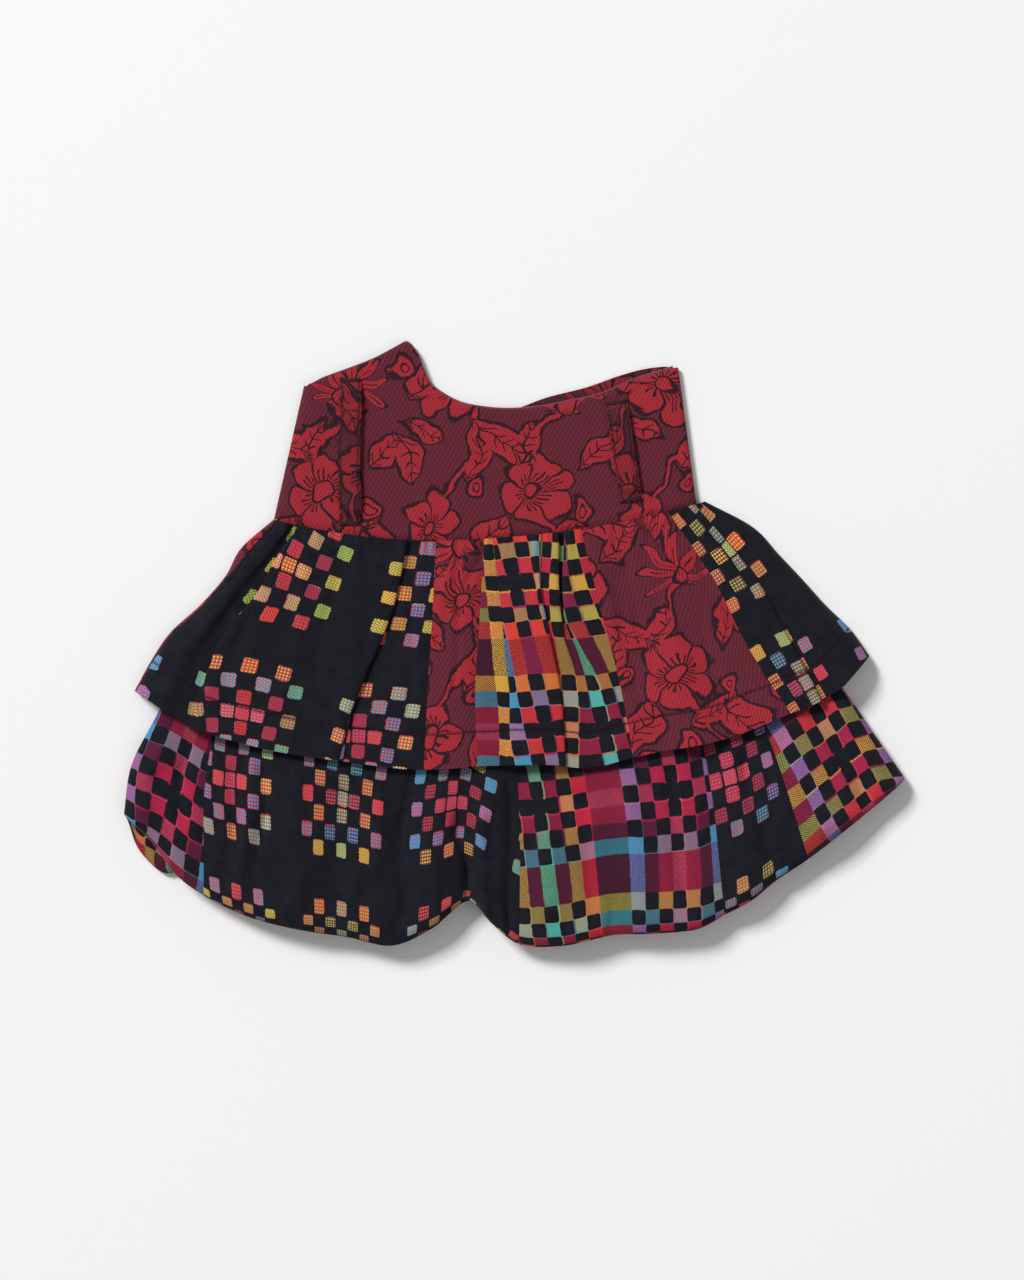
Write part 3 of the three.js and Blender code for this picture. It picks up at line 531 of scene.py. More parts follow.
class Socket:  # a socket of a material that can be reckoned with
    def __init__(self, tree, socket=None):
        self.tree = tree
        self.socket = socket

    def node(self, kind, settings, inputs, output=0):
        made = self.tree.nodes.new("ShaderNode" + kind)
        for key, setting in settings.items():
            if key == "stops":
                ramp = made.color_ramp
                ramp.interpolation = "CONSTANT"
                ramp.elements.remove(ramp.elements[1])
                for n, (position, tint) in enumerate(setting):
                    (ramp.elements.new(position) if n else ramp.elements[0]).color = tint
            else:
                setattr(made, key, setting)
        for key, value in inputs.items():
            if isinstance(value, Socket):
                self.tree.links.new(value.socket, made.inputs[key])
            else:
                made.inputs[key].default_value = value
        return Socket(self.tree, made.outputs[output])

    def __add__(self, other):
        return maths("ADD", self, other)

    def __sub__(self, other):
        return maths("SUBTRACT", self, other)

    def __mul__(self, other):
        return maths("MULTIPLY", self, other)

    def __truediv__(self, other):
        return maths("DIVIDE", self, other)

    def __lt__(self, other):
        return maths("LESS_THAN", self, other)

    def __gt__(self, other):
        return maths("GREATER_THAN", self, other)

    def __radd__(self, other):
        return maths("ADD", other, self)

    def __rsub__(self, other):
        return maths("SUBTRACT", other, self)

    def __rmul__(self, other):
        return maths("MULTIPLY", other, self)

    def __rtruediv__(self, other):
        return maths("DIVIDE", other, self)


def maths(operation, *values):
    owner = next(value for value in values if isinstance(value, Socket))
    return owner.node("Math", {"operation": operation}, dict(enumerate(values)))


def rises(value, low, high):  # 0 below low, 1 above high, smooth between
    settings = {"interpolation_type": "SMOOTHSTEP", "clamp": True}
    return value.node("MapRange", settings, {0: value, 1: low, 2: high, 3: 0.0, 4: 1.0})


def tinted(share, first, second):  # a colour from first to second
    owner = share if isinstance(share, Socket) else first
    return owner.node("Mix", {"data_type": "RGBA"}, {0: share, 6: first, 7: second}, output=2)


def wrapped(value, length):  # from -length / 2 to length / 2, again and again
    return maths("FLOORED_MODULO", value + length / 2, length) - length / 2


def colour(text):  # a screen colour as a linear one
    channels = [int(text[i:i + 2], 16) / 255 for i in (1, 3, 5)]
    return (*[c / 12.92 if c <= 0.04045 else ((c + 0.055) / 1.055) ** 2.4 for c in channels], 1.0)


def blankMaterial(name, roughness, sheen, gloss):
    material = bpy.data.materials.new(name)
    material.use_nodes = True
    shader = material.node_tree.nodes["Principled BSDF"]
    shader.inputs["Roughness"].default_value = roughness
    shader.inputs["Sheen Weight"].default_value = sheen
    shader.inputs["Sheen Roughness"].default_value = 0.5
    shader.inputs["Specular IOR Level"].default_value = gloss
    return material, shader, Socket(material.node_tree)


def cutPlace(start, layer="cut"):  # where a point lies on the cloth as it was cut, in millimetres
    place = start.node("UVMap", {"uv_map": layer}, {})
    return place, *[start.node("SeparateXYZ", {}, {0: place}, output=i) for i in (0, 1)]


def patches(place, size, detail=2.0):  # noise in patches of that size in millimetres
    return place.node("TexNoise", {}, {"Vector": place, "Scale": 1 / size, "Detail": detail})


def finishCloth(shader, tint, height, strength):
    tree = tint.tree
    tree.links.new(tint.socket, shader.inputs["Base Color"])
    bump = tint.node("Bump", {}, {"Strength": strength, "Distance": 0.0006, "Height": height})
    tree.links.new(bump.socket, shader.inputs["Normal"])


# The line of stitches that holds the peplum's hem
hemStitch = {"from": 30.0, "pitch": 4.2, "length": 3.0, "thread": "#2a0c15"}


def withHemStitch(start, tint, height):
    place, across, fromHem = cutPlace(start, "edge")
    offLine = maths("ABSOLUTE", fromHem - hemStitch["from"] + (patches(place, 35.0) - 0.5) * 3)
    onStitch = maths("ABSOLUTE", wrapped(across, hemStitch["pitch"])) < hemStitch["length"] / 2
    thread = (1 - rises(offLine, 0.3, 0.8)) * (0.3 + onStitch * 0.6)
    # Painted shade: the cloth is darkened towards near-black within a few millimetres of the stitch line, where it
    # also dips in the bump
    sunkAndPaintedShade = 1 - rises(offLine, 0.5, 2.6)
    shaded = tinted(sunkAndPaintedShade * 0.3, tint, colour("#08070b"))
    return tinted(thread, shaded, colour(hemStitch["thread"])), height - sunkAndPaintedShade


# The check: blocks of 7 by 7 cells, plain between them. Stripe colours of four blocks each way.
check = {
    "cell": (11.7, 14.0), "cells": 7, "repeat": 9.4,
    "across": [["#e6b84a", "#4f93c4", "#e04438", "#a82c58", "#e04438", "#4f93c4", "#e6b84a"],
               ["#dd2c3c", "#c9a04e", "#5e1f3c", "#66c49a", "#5e1f3c", "#c9a04e", "#dd2c3c"],
               ["#6f86c4", "#5e1f3c", "#b8284a", "#d94a66", "#b8284a", "#5e1f3c", "#6f86c4"],
               ["#8fb04e", "#a82c50", "#e07a80", "#de3038", "#e07a80", "#a82c50", "#8fb04e"]],
    "down": [["#e0483c", "#a8b058", "#a82c50", "#ecb24c", "#a82c50", "#a8b058", "#e0483c"],
             ["#e2a044", "#4aa0bc", "#b8283e", "#d0486a", "#b8283e", "#4aa0bc", "#e2a044"],
             ["#1b9db3", "#5e1f3c", "#b8284a", "#d94a66", "#b8284a", "#5e1f3c", "#1b9db3"],
             ["#aeaa48", "#2aa6b6", "#c42c3e", "#d8485e", "#c42c3e", "#4f8fc0", "#d8a03f"]],
    "between": "#401a2b",
}


def stripes(value, blocks):
    stops = []
    whole = check["repeat"] * len(blocks)
    for b, tints in enumerate(blocks):
        for i, tint in enumerate([*tints, check["between"]]):
            stops.append(((b * check["repeat"] + i) / whole, colour(tint)))
    share = maths("FLOORED_MODULO", value, whole) / whole
    return value.node("ValToRGB", {"stops": stops}, {0: share})


def checkCloth(name, blackSide):
    # Double cloth: black with coloured squares on one side, plaid with black squares on the other
    material, shader, start = blankMaterial(name, 0.95, 0.05, 0.1)
    place, u, v = cutPlace(start)
    fuzz = patches(place, 0.9)
    waver = (patches(place, 6.0) - 0.5) * 1.6
    drift = (patches(place, 45.0) - 0.5) * 5
    column = (u + waver) / check["cell"][0] + check["cells"] / 2
    line = (v + waver + drift) / check["cell"][1] + check["cells"] / 2
    inColumn, inLine = (maths("FLOORED_MODULO", x, check["repeat"]) for x in (column, line))
    i, j = (maths("FLOOR", x) for x in (inColumn, inLine))
    inBlock = (inColumn < check["cells"]) * (inLine < check["cells"])
    middle = maths("COMPARE", i, 3.0, 0.1) * maths("COMPARE", j, 3.0, 0.1)
    chosen = inBlock * maths("MAXIMUM", maths("FLOORED_MODULO", i + j, 2.0), middle)
    corner = sum(maths("POWER", maths("ABSOLUTE", x) * 2, 7.0) for x in (inColumn - i - 0.5, inLine - j - 0.5))
    reach = 0.25 if blackSide else 1.0
    square = chosen * (1 - rises(corner + (fuzz - 0.5) * 0.4, reach, reach + 0.3))
    warp, weft = stripes(column, check["across"]), stripes(line, check["down"])
    black = tinted(rises(patches(place, 1.3, 3.0), 0.3, 0.75), colour("#0f0f15"), colour("#1d1d26"))
    black = tinted(rises(patches(place, 14.0), 0.3, 0.7) * 0.35, black, colour("#22222b"))
    pitch = 2 * math.pi / (5.0 if blackSide else 1.9)
    if blackSide:  # the two yarns cross in small lozenges
        weave = maths("SINE", (u + v * 0.85) * pitch) * maths("SINE", (u - v * 0.85) * pitch)
        yarn = rises(weave + (fuzz - 0.5) * 0.8, -0.2, 0.1)
        lozenge = 1 - rises(maths("ABSOLUTE", weave), 0.12, 0.4)
        coloured = tinted(lozenge * 0.75, tinted(yarn, warp, weft), colour("#1a141c"))
        tint = tinted(square, black, tinted(fuzz * 0.05, coloured, colour("#f3d9c8")))
    else:  # and are speckled here
        weave = maths("SINE", u * pitch) * maths("SINE", v * pitch)
        yarn = rises(weave + (fuzz - 0.5) * 2.4, -0.35, 0.35)
        plaid = tinted(rises(fuzz, 0.3, 0.75) * 0.55, tinted(yarn, warp, weft), colour("#2c1420"))
        tint = tinted(square, plaid, black)
    height = fuzz * 0.4 + yarn * 0.25 + square * 0.25
    tint, height = withHemStitch(start, tint, height)
    finishCloth(shader, tint, height, 0.5)
    return material


# The flowered jacquard, in a repeat of its own: place across and down, turn in degrees, size
jacquard = {
    "repeat": (188.0, 236.0), "size": 0.98, "outline": 1.5, "bend": 7.0, "twillPitch": 3.4, "twillLean": 62.0,
    "ground": "#64212f", "groundLine": "#4f1a28", "flower": "#861b27", "flowerLight": "#a92a35", "ink": "#2c121b",
    "rosettes": [(46, 30, 10, 32, 5), (118, 122, 40, 33, 6), (26, 152, 0, 26, 5)],
    "daisies": [(142, 40, -90, 48, 11), (44, 222, 200, 42, 9)],
    "leaves": [(20, 66, 30, 44, 11), (64, 92, -70, 46, 11), (144, 160, -30, 50, 12), (70, 200, -30, 46, 11),
               (18, 20, -60, 44, 10), (110, 80, -64, 46, 11), (86, 78, 35, 66, 15), (78, 164, -50, 60, 14),
               (168, 176, 62, 66, 15), (98, 2, -28, 52, 12), (6, 94, 72, 56, 13),
               (174, 88, -44, 50, 12), (98, 216, 18, 60, 14), (148, 226, -58, 50, 12)],
    "stems": [(40, 25, 0), (134, 24, 70)],
    "buds": [(66, 118, 9), (160, 138, 9), (116, 184, 10), (186, 14, 10), (2, 192, 9)],
}


def jacquardCloth(name, dimmed=0.0):
    material, shader, start = blankMaterial(name, 0.85, 0.05, 0.2)
    place, u, v = cutPlace(start)
    wander = (patches(place, 11.0) - 0.5) * 6 + (patches(place, 1.7) - 0.5) * 2.6
    # Nothing is regular: the motifs are bent a little across and down
    bend = place.node("TexNoise", {}, {"Vector": place, "Scale": 1 / 30, "Detail": 1.0}, output=1)
    bendU, bendV = (bend.node("SeparateXYZ", {}, {0: bend}, output=i) for i in (0, 1))
    straightU, straightV = u, v
    u = u / jacquard["size"] + (bendU - 0.5) * jacquard["bend"] * 4
    v = v / jacquard["size"] + (bendV - 0.5) * jacquard["bend"] * 4
    shapes, ink = [], []

    def local(cx, cy, degrees):
        dx = wrapped(u - cx, jacquard["repeat"][0])
        dy = wrapped(v - cy, jacquard["repeat"][1])
        c, s = math.cos(math.radians(degrees)), math.sin(math.radians(degrees))
        return dx * c + dy * s, dy * c - dx * s

    def petalled(a, b, radius, petals):
        r = maths("SQRT", a * a + b * b)
        around = maths("ARCTAN2", b, a)
        lobe = maths("ABSOLUTE", maths("COSINE", around * (petals / 2)))
        shape = radius * (0.68 + 0.32 * maths("SQRT", lobe)) - r
        spokes = (lobe < 0.16) * (r > radius * 0.3)
        hatch = (maths("SINE", around * (petals * 4)) > 0.35) * (r < radius * (0.3 + 0.28 * lobe))
        hatch = hatch * (r > radius * 0.24)
        ring = maths("COMPARE", r, radius * 0.22, 1.1)
        return shape, maths("MAXIMUM", maths("MAXIMUM", spokes, hatch), ring)

    for cx, cy, turn, radius, petals in jacquard["rosettes"]:
        shape, marks = petalled(*local(cx, cy, turn), radius, petals)
        shapes.append(shape)
        ink.append(marks * (shape > 0))
    for cx, cy, turn, radius, petals in jacquard["daisies"]:  # pointed petals on the upper half
        a, b = local(cx, cy, turn)
        r = maths("SQRT", a * a + b * b)
        around = maths("ARCTAN2", b, a)
        between = maths("ABSOLUTE", maths("SINE", around * (petals / 2)))
        tip = radius * (1 - 0.5 * between * between - 0.16 * maths("ABSOLUTE", around))
        shape = maths("MINIMUM", tip - r, a + 10)
        shapes.append(shape)
        lines = maths("MAXIMUM", (between > 0.95) * (r > radius * 0.22), maths("COMPARE", r, radius * 0.22, 1.2))
        spine = (between < 0.12) * (r < radius * 0.6) * (r > radius * 0.3)
        ink.append(maths("MAXIMUM", lines, spine) * (shape > 0))
    for cx, cy, turn, length, half in jacquard["leaves"]:
        a, b = local(cx, cy, turn)
        off = maths("ABSOLUTE", b)
        reach = a * (2 / length)
        shape = half * (1 - reach * reach) - off
        shapes.append(shape)
        veins = maths("MAXIMUM", off < 0.6, (maths("SINE", (a - off) * 0.6) > 0.86) * (off < half * 0.5))
        ink.append(veins * (shape > 1.5))
    for cx, sway, shift in jacquard["stems"]:
        swing = maths("SINE", (v + shift) * (2 * math.pi / jacquard["repeat"][1])) * sway
        shapes.append(3.4 - maths("ABSOLUTE", wrapped(u - swing - cx, jacquard["repeat"][0])))
    for cx, cy, radius in jacquard["buds"]:
        a, b = local(cx, cy, 0)
        r = maths("SQRT", a * a + b * b)
        shapes.append(radius - r)
        ink.append(maths("COMPARE", r, radius * 0.4, 0.7))
    field, marks = shapes[0], ink[0]
    for shape in shapes[1:]:
        field = maths("MAXIMUM", field, shape)
    for mark in ink[1:]:
        marks = maths("MAXIMUM", marks, mark)
    field = field + wander
    lean = math.radians(jacquard["twillLean"])
    twillTurn = 2 * math.pi / jacquard["twillPitch"]
    ribs = straightU * math.sin(lean) + straightV * math.cos(lean)
    twill = maths("SINE", ribs * twillTurn)
    grain = patches(place, 0.8)
    groundTint, groundLine, flowerTint, flowerLight, inkTint = (
        colour(jacquard[name]) for name in ("ground", "groundLine", "flower", "flowerLight", "ink"))
    ground = tinted(rises(twill + (grain - 0.5) * 2, 0.0, 0.9), groundTint, groundLine)
    fine = maths("SINE", ribs * (twillTurn * 1.5))
    flower = tinted(rises(fine + (grain - 0.5) * 3, -0.9, 0.6), flowerTint, flowerLight)
    outlined = 1 - rises(maths("ABSOLUTE", field), jacquard["outline"] - 0.3, jacquard["outline"] + 0.3)
    inked = maths("MAXIMUM", marks, outlined)
    tint = tinted(inked, tinted(rises(field, -0.4, 0.4), ground, flower), inkTint)
    if dimmed:
        tint = tinted(dimmed, tint, colour("#1a0a10"))
    height = grain * 0.5 + twill * 0.25
    tint, height = withHemStitch(start, tint, height)
    finishCloth(shader, tint, height, 0.45)
    return material


def plainCloth(name, dark, light, pitch):
    # Fine twill in one colour
    material, shader, start = blankMaterial(name, 0.8, 0.1, 0.2)
    place, u, v = cutPlace(start)
    twill = maths("SINE", (u + v * 0.6) * (2 * math.pi / pitch))
    grain = patches(place, 0.7)
    tint = tinted(rises(twill + (grain - 0.5) * 2, -0.7, 0.7), colour(dark), colour(light))
    tint = tinted(rises(patches(place, 12.0), 0.35, 0.7) * 0.3, tint, colour(dark))
    finishCloth(shader, tint, twill * 0.3 + grain * 0.4, 0.4)
    return material


materials = {
    "black": (checkCloth("blackCheck", True), "black_check"),
    "plaid": (checkCloth("plaidCheck", False), "plaid"),
    "jacquard": (jacquardCloth("floweredJacquard"), "jacquard"),
    "inside": (jacquardCloth("jacquardInside", 0.35), "facing"),
    "binding": (plainCloth("rolledEdge", "#6b3342", "#96606e", 1.6), "facing"),
    "strap": (jacquardCloth("strapJacquard", 0.3), "strap"),
    "thread": (plainCloth("tackThread", "#120d14", "#2d1a24", 0.9), "strap"),
}
print("cloths made")


def finishPiece(piece, kind, node=None):
    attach(piece, "root")
    if node:
        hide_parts(node)


def gridArea(points):
    across, down = np.diff(points, axis=1)[:-1], np.diff(points, axis=0)[:, :-1]
    return np.linalg.norm(np.cross(across, down), axis=2).sum() * mm * mm


def declareSheet(piece, points, u, v):
    width, length = np.ptp(u) * mm, np.ptp(v) * mm
    area = min(gridArea(points), 0.99 * width * length)
    print("cut", piece.name, round(width, 3), round(length, 3), round(area, 4))


noHem = 1000.0  # added to the distance from the hem where no line of stitches is sewn


# Tucks are more cloth hidden in a pleat.
def panelRow(name, tier, first, last, kind, node, *centres, tucks=()):
    return dict(name=name, tier=tier, first=first, last=last, kind=kind, node=node, centres=centres, tucks=tucks)


panels = [
    panelRow("peplumBlackLeft", "peplum", "leftSeam", "seamFloralLeft", "black", "peplum_black_left",
             (-131.5, -78.5, 0, 1), (-234.2, -59.9, -1, 1), (-194.4, 65.4, -1, 0), tucks={"pleatB": 20}),
    panelRow("peplumFloralNarrow", "peplum", "seamFloralLeft", "seamPlaidLeft", "jacquard", "peplum_floral_narrow",
             (-56, 0, 0.2, 0.3)),
    panelRow("peplumPlaidPleat", "peplum", "seamPlaidLeft", "seamPlaidRight", "plaid", "peplum_plaid_pleat",
             (2, 51.9, 0, 0), (30.7, -73.7, 0, 1), tucks={"pleatD": 45}),
    panelRow("peplumFloralWide", "peplum", "seamPlaidRight", "seamBlackRight", "jacquard", "peplum_floral_wide",
             (130, 0, 0.6, 0.4)),
    panelRow("peplumBlackRight", "peplum", "seamBlackRight", "rightSide", "black", "peplum_black_right",
             (250.1, -32.6, 1, 1), (185.7, 82.9, 1, 0)),
    panelRow("peplumPlaidBack", "peplum", "rightSide", "backSeam", "plaid", "peplum_plaid_back", (150, 0, 1, 0)),
    panelRow("peplumFloralBack", "peplum", "backSeam", "leftSeam", "jacquard", "peplum_floral_back",
             (-100, 0, 0, 0)),
    panelRow("balloonPlaidLeft", "balloon", "backSeamLeft", "seamBlackLeft", "plaid", "balloon_plaid_left",
             (-292, -133, 2, 2)),
    panelRow("balloonBlackLeft", "balloon", "seamBlackLeft", "seamPlaidCentre", "black", "balloon_black_left",
             (-147, -133.4, 1, 3), (-240.8, -118, 0, 3), (-55.4, -141, 2, 3)),
    panelRow("balloonPlaidCentre", "balloon", "seamPlaidCentre", "seamBlackRight", "plaid", "balloon_plaid_centre",
             (136.8, -128.4, 2, 2), (19.9, -138.5, 1, 2)),
    panelRow("balloonBlackRight", "balloon", "seamBlackRight", "seamPlaidRight", "black", "balloon_black_right",
             (186.3, -113.8, 2, 2)),
    panelRow("balloonPlaidRight", "balloon", "seamPlaidRight", "backSeamRight", "plaid", "balloon_plaid_right",
             (283, -99.2, 2, 0)),
    panelRow("balloonBlackBack", "balloon", "backSeamRight", "backSeamLeft", "black", "balloon_black_back",
             (0, -120, 0, 0)),
]
stiffness = 0.5  # how strongly the repeat keeps its size where several blocks are placed


def straightened(values):  # the threads run straight down the cloth, over waves that open on the way
    t = np.linspace(-1, 1, len(values))[:, None]
    return values.mean(axis=0) + t * (t * values).sum(axis=0) / (t * t).sum()


def gridPlace(points, allowed, x, y):  # the row and column of the cloth that shows at a place
    away = np.hypot(points[:, :, 0] - x, points[:, :, 1] - y) - points[:, :, 2] * 0.3 + np.where(allowed, 0, 500)
    return np.unravel_index(away.argmin(), away.shape)


def placeRepeat(u, v, spots, targets):
    # Cut coordinates moved, and turned a little where two or more blocks are placed, so that each falls right
    first = spots[0]
    a, b = u - u[first], v - v[first]
    basis = np.stack([np.ones_like(a), a, b, a * b / 100], axis=2)
    made = []
    for axis in (0, 1):
        plain = np.array([targets[0][axis], 1 - axis, axis, 0], dtype=float)
        rows = [basis[spot] for spot in spots]
        wanted = [target[axis] for target in targets]
        rows += [np.eye(4)[i] * stiffness * 100 for i in (1, 2, 3)]
        wanted += [plain[i] * stiffness * 100 for i in (1, 2, 3)]
        rows[0] = rows[0] * 10
        wanted[0] = wanted[0] * 10
        made.append(basis @ np.linalg.lstsq(np.array(rows), np.array(wanted), rcond=None)[0])
    return np.stack(made, axis=2)


def makePanel(panel):
    points, faces, columns = panelGrid(panel["tier"], panel["first"], panel["last"])
    allowed = np.broadcast_to(faces >= 0 if faces.max() >= 0 else faces < 0, points.shape[:2]).copy()
    if panel["tier"] == "balloon":
        allowed[stepsDown["balloon"] > turnStarts] = False
    spots = [gridPlace(points, allowed, *centre[:2]) for centre in panel["centres"]]
    if panel["kind"] == "jacquard":
        repeat = [jacquard["size"] * length for length in jacquard["repeat"]]
    else:
        repeat = [check["repeat"] * cell for cell in check["cell"]]
    targets = [(centre[2] * repeat[0], centre[3] * repeat[1]) for centre in panel["centres"]]
    u, v, fromHem = flatten(points, spots[0][1])
    tucked = straightened(u)
    for name, extra in dict(panel["tucks"]).items():
        tier = tiers[panel["tier"]]
        facesLeft = next(line for line in tier["front"] if line["name"] == name)["faces"] == "left"
        start = tier["at"][name] + (0 if facesLeft else 2)
        share = clamp01((columns - start) / 3) - clamp01((columns[spots[0][1]] - start) / 3)
        tucked = tucked + extra * share
    cut = placeRepeat(tucked, straightened(v), spots, targets)
    edge = np.stack([u, fromHem if panel["tier"] == "peplum" else fromHem + noHem], axis=2)
    piece = sheetMesh(panel["name"], settle(points), cut, edge, cloth["wall"], materials[panel["kind"]][0])
    finishPiece(piece, panel["kind"], panel["node"])
    declareSheet(piece, points, u, v)


# The band's top edges, left to right. The front has a peak at the left and a scoop.
bandTopFront = [
    [-181, 221.9], [-160.5, 229.5], [-121, 244.5], [-100, 255.5], [-92, 259.3], [-84, 251.5], [-78, 237],
    [-71.5, 223.5], [-60, 214.5], [-45, 207], [-25, 203], [-5, 201.6], [21, 203.4], [44, 207.7], [75, 214.6],
    [105, 227.5], [128.5, 234.4], [142.3, 237.8],
]
bandTopBack = [
    [-181, 221.9], [-150, 219.5], [-110, 213], [-70, 206], [-40, 200], [-5, 201], [29, 212.5], [64, 221.5],
    [91, 231], [113, 237], [133, 239], [142.3, 237.8],
]
band = {"bottomLeft": -206.8, "bottomRight": 158.0, "roll": 3.0, "facingInset": 5.0, "proud": 1.6, "rows": 64}
bandCreases = [
    ((-172, 205), (-190, 110), 9, 0.7), ((-120, 220), (-110, 100), 12, -0.6), ((-60, 190), (-85, 95), 10, 0.6),
    ((-20, 190), (-30, 100), 8, -0.5), ((30, 190), (40, 110), 10, 0.7), ((70, 190), (60, 104), 7, -0.6),
    ((120, 210), (140, 120), 8, 0.6),
]


def topEdge(rows, spacing=2.8):
    listed = np.array(rows, dtype=float)
    padded = np.vstack([2 * listed[0] - listed[1], listed, 2 * listed[-1] - listed[-2]])
    made = []
    for i in range(1, len(padded) - 2):
        parts = max(1, round(np.linalg.norm(padded[i + 1] - padded[i]) / spacing))
        made += [throughFour(*padded[i - 1:i + 3], part / parts) for part in range(parts)]
    return np.array([*made, listed[-1]])


def bandGrid(edgeRows, inset, proud):
    # Points at height 0 from the top edge down to the waist seam
    top = topEdge(edgeRows)
    left, right = edgeRows[0][0], edgeRows[-1][0]
    share = (top[:, 0] - left) / (right - left)
    bottomX = mix(band["bottomLeft"], band["bottomRight"], share)
    v = np.linspace(0, 1, band["rows"])[:, None]
    middle = np.where(share < 0.5, 1, -1)
    near = inset * np.clip(1 - np.minimum(share, 1 - share) * 20, 0, 1)
    x = mix(top[:, 0], bottomX, v) + middle * near
    y = mix(top[:, 1] + proud, waistY(bottomX) + cloth["gap"], v)
    return np.stack([x, y, np.zeros_like(x)], axis=2)


def rolledSides(points, facing, flat):
    # Both sides turn down until front and back meet
    side = level["sideAtWaist"] + facing * cloth["gap"] / 2
    grids = []
    for inward, column in ((1, points[:, :1]), (-1, points[:, -1:])):
        made = []
        for degrees in range(0, 90, 15):
            turn = math.radians(degrees)
            shift = inward * (halfWall + band["roll"] * (1 - math.cos(turn)))
            made.append(column + [shift, 0, mix(side, flat, math.sin(turn))])
        grids.append(made)
    inner = points.copy()
    inner[:, :, 2] = flat
    inside = (inner[0, :, 0] > points[0, 0, 0] + 4) & (inner[0, :, 0] < points[0, -1, 0] - 4)
    return np.concatenate([*grids[0], inner[:, inside], *grids[1][::-1]], axis=1)


def bandPiece(name, node, points, kind, wall, shift, facing):
    if facing < 0:
        points = points[:, ::-1]
    u = points[:, :, 0].copy()
    v = -points[:, :, 1]
    cut = np.stack([facing * u + shift[0], v + shift[1]], axis=2)
    edge = np.full_like(cut, noHem)
    piece = sheetMesh(name, settle(points), cut, edge, wall, materials[kind][0])
    finishPiece(piece, kind, node)
    declareSheet(piece, points, u, v)


front = rolledSides(bandGrid(bandTopFront, 0, 0), 1, level["front"])
heights = np.zeros(front.shape[:2])
for (x0, y0), (x1, y1), width, height in bandCreases:
    dx, dy = x1 - x0, y1 - y0
    t = clamp01(((front[:, :, 0] - x0) * dx + (front[:, :, 1] - y0) * dy) / (dx * dx + dy * dy))
    away = np.hypot(front[:, :, 0] - x0 - dx * t, front[:, :, 1] - y0 - dy * t)
    heights += height * np.exp(-((away / width) ** 2))
fromTop = front[0, :, 1] - front[:, :, 1]
fromSeam = front[:, :, 1] - front[-1, :, 1]
front[:, :, 2] += heights * ease(fromTop / 12) * (front[:, :, 2] > level["front"] - 0.1)
front[:, :, 2] -= 0.9 * np.exp(-((fromSeam / 2.5) ** 2)) + 0.5 * np.exp(-((fromTop / 1.2) ** 2))
bandPiece("bandBack", "band_back", rolledSides(bandGrid(bandTopBack, 0, 0), -1, level["back"]), "jacquard",
          cloth["wall"], (30, 60), -1)
backFacing = bandGrid(bandTopBack, band["facingInset"], 0)
backFacing[:, :, 2] = level["backFacing"]
bandPiece("bandBackFacing", "band_back_facing", backFacing, "inside",
          cloth["facingWall"], (60, 10), 1)
frontFacing = bandGrid(bandTopFront, band["facingInset"], band["proud"])
lip = frontFacing[0, :, 1] - frontFacing[:, :, 1]
frontFacing[:, :, 2] = level["frontFacing"] + 0.9 * np.exp(-((lip / 1.3) ** 2))
bandPiece("bandFrontFacing", "band_front_facing", frontFacing, "binding",
          cloth["facingWall"], (0, 0), 1)
bandPiece("bandFront", "band_front", front, "jacquard", cloth["wall"], (96, 20), 1)
print("band made")

for panel in panels:
    makePanel(panel)
print("panels made")

# Belt loops: a strap sewn down at both ends and bowed between
loop = {"width": 18.5, "bow": 3.2, "stitchInset": 1.8, "clear": 0.3, "rows": 70, "columns": 13}
loops = [
    dict(name="beltLoopLeft", node="belt_loop_left", top=(-140.5, 229), bottom=(-141.5, 102), shift=(10, 300)),
    dict(name="beltLoopRight", node="belt_loop_right", top=(88, 209.5), bottom=(101.5, 122.5), shift=(120, 40)),
]


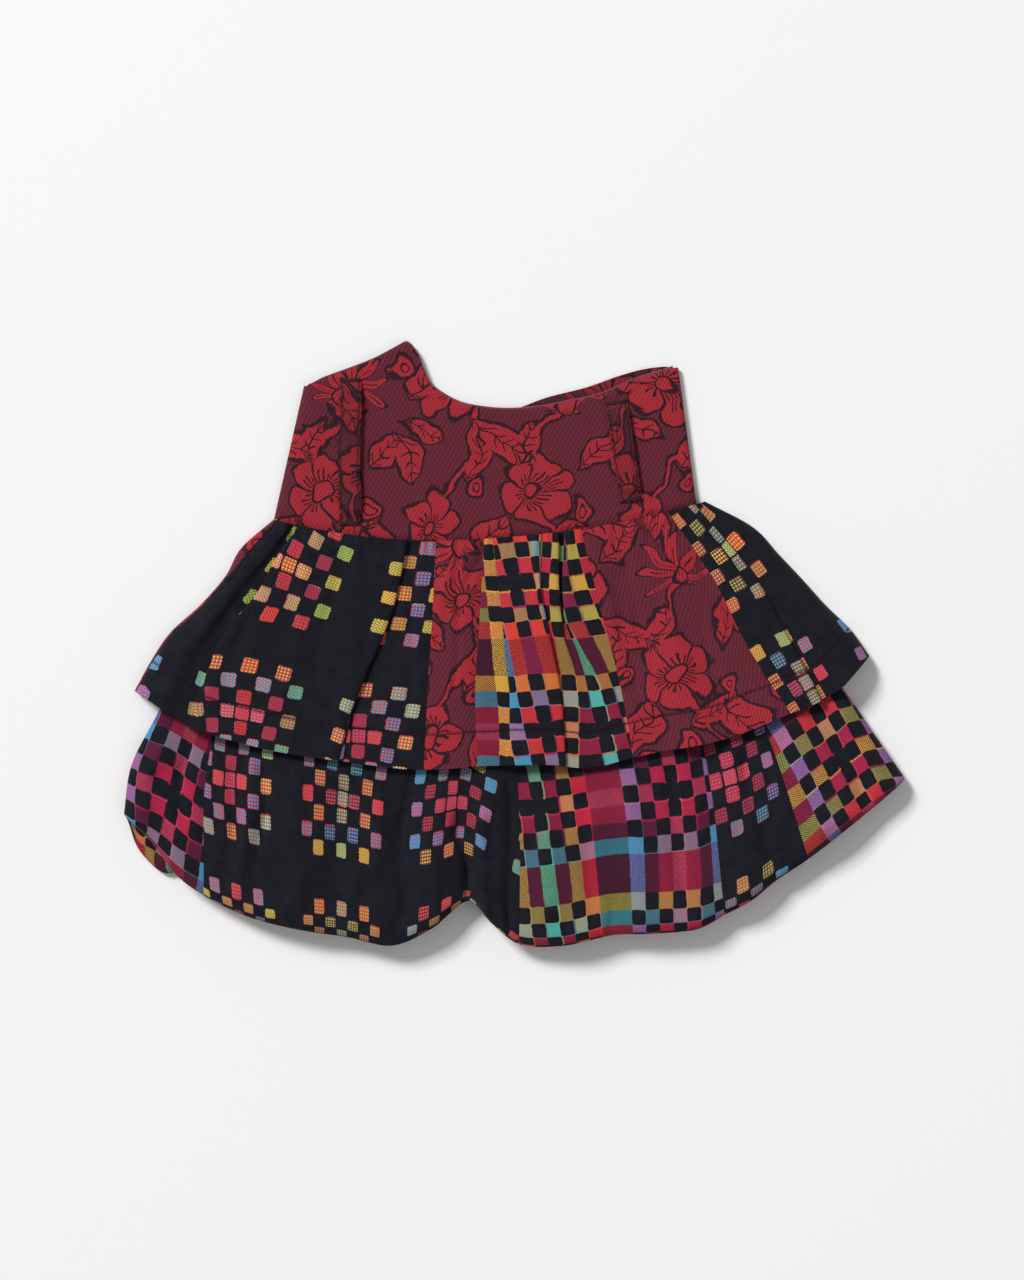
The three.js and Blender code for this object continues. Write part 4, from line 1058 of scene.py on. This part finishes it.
def beltLoop(name, node, top, bottom, shift):
    v = np.linspace(0, 1, loop["rows"])[:, None]
    across = np.linspace(-1, 1, loop["columns"])[None, :]
    way = np.array(bottom) - np.array(top)
    length = np.linalg.norm(way)
    way = way / length
    half = loop["width"] / 2 + 0.35 * np.sin(v * 21 + top[0]) + 0.25 * np.sin(v * 47)
    x = mix(top[0], bottom[0], v) - way[1] * across * half + 0.5 * np.sin(v * 9)
    y = mix(top[1], bottom[1], v) + way[0] * across * half
    seat = level["front"] + cloth["wall"] / 2 + loop["clear"] + cloth["loopWall"] / 2
    near = np.minimum(v, 1 - v) * length
    z = seat + loop["bow"] * ease((near - 4) / 9) - 0.5 * across ** 4 + 0.15 * np.sin(v * 31 + across * 2)
    points = np.stack([x, y, z + 0 * across], axis=2)
    u, down = across * half + 0 * v, v * length + 0 * across
    cut = np.stack([u + shift[0], down + shift[1]], axis=2)
    # The painted shade of the stitch lines darkens the strap close to both edges
    fromLine = np.abs(u) - (half - loop["stitchInset"])  # stitched along both edges
    edge = np.stack([down, hemStitch["from"] + fromLine], axis=2)
    piece = sheetMesh(name, points, cut, edge, cloth["loopWall"], materials["strap"][0])
    finishPiece(piece, "strap", node)
    declareSheet(piece, points, u, down)
    for end, place in (("Top", 2.2 / length), ("Bottom", 1 - 2.2 / length)):
        centre = [mix(top[0], bottom[0], place), mix(top[1], bottom[1], place), seat + 0.75]
        bpy.ops.object.select_all(action="DESELECT")
        bpy.ops.mesh.primitive_cylinder_add(vertices=20, radius=0.5, depth=1, location=(0, 0, 0))
        tack = bpy.context.object
        tack.name = tack.data.name = name + "Tack" + end
        angle = math.atan2(way[0], -way[1])
        for vertex in tack.data.vertices:
            a, b, c = vertex.co.z * (loop["width"] - 2.5), vertex.co.y * 3.0, vertex.co.x * 1.3
            vertex.co = (mm * (centre[0] + a * math.cos(angle) - b * math.sin(angle)),
                         mm * (centre[1] + a * math.sin(angle) + b * math.cos(angle)), mm * (centre[2] + c))
        bpy.ops.object.shade_smooth_by_angle(angle=math.radians(50))
        tack.data.uv_layers[0].name = "cut"
        tack.data.materials.append(materials["thread"][0])
        finishPiece(tack, "thread")


for one in loops:
    beltLoop(**one)
print("belt loops made")

# Floor, light and camera
bpy.ops.mesh.primitive_plane_add(size=16)
floor = bpy.context.object
floor.name = "floor"
floorMaterial = bpy.data.materials.new("paleFloor")
floorMaterial.use_nodes = True
floorShader = floorMaterial.node_tree.nodes["Principled BSDF"]
floorShader.inputs["Base Color"].default_value = colour("#f3f3f3")
floorShader.inputs["Roughness"].default_value = 0.9
floorShader.inputs["Specular IOR Level"].default_value = 0.1
floor.data.materials.append(floorMaterial)

world = bpy.data.worlds.new("studio")
bpy.context.scene.world = world
world.use_nodes = True
world.node_tree.nodes["Background"].inputs["Color"].default_value = (1, 1, 1, 1)
world.node_tree.nodes["Background"].inputs["Strength"].default_value = 0.31
lights = [("keyLight", (-10.8, 11.2, 13.2), 5.2, 4140), ("fillLight", (4.5, -3.5, 7.0), 5, 70)]
for name, place, size, power in lights:
    bpy.ops.object.light_add(type="AREA", location=place)
    light = bpy.context.object
    light.name = name
    light.data.size = size
    light.data.energy = power
    light.rotation_euler = Vector(place).to_track_quat("Z", "Y").to_euler()

cameraData = bpy.data.cameras.new("above")
camera = bpy.data.objects.new("above", cameraData)
bpy.context.scene.collection.objects.link(camera)
camera.location = (-0.0013, 0.003, 3.0)
cameraData.sensor_fit = "HORIZONTAL"
cameraData.sensor_width = 36
cameraData.lens = 122
cameraData.clip_end = 20
bpy.context.scene.camera = camera
bpy.context.scene.view_settings.view_transform = "Standard"

print("scene ready")
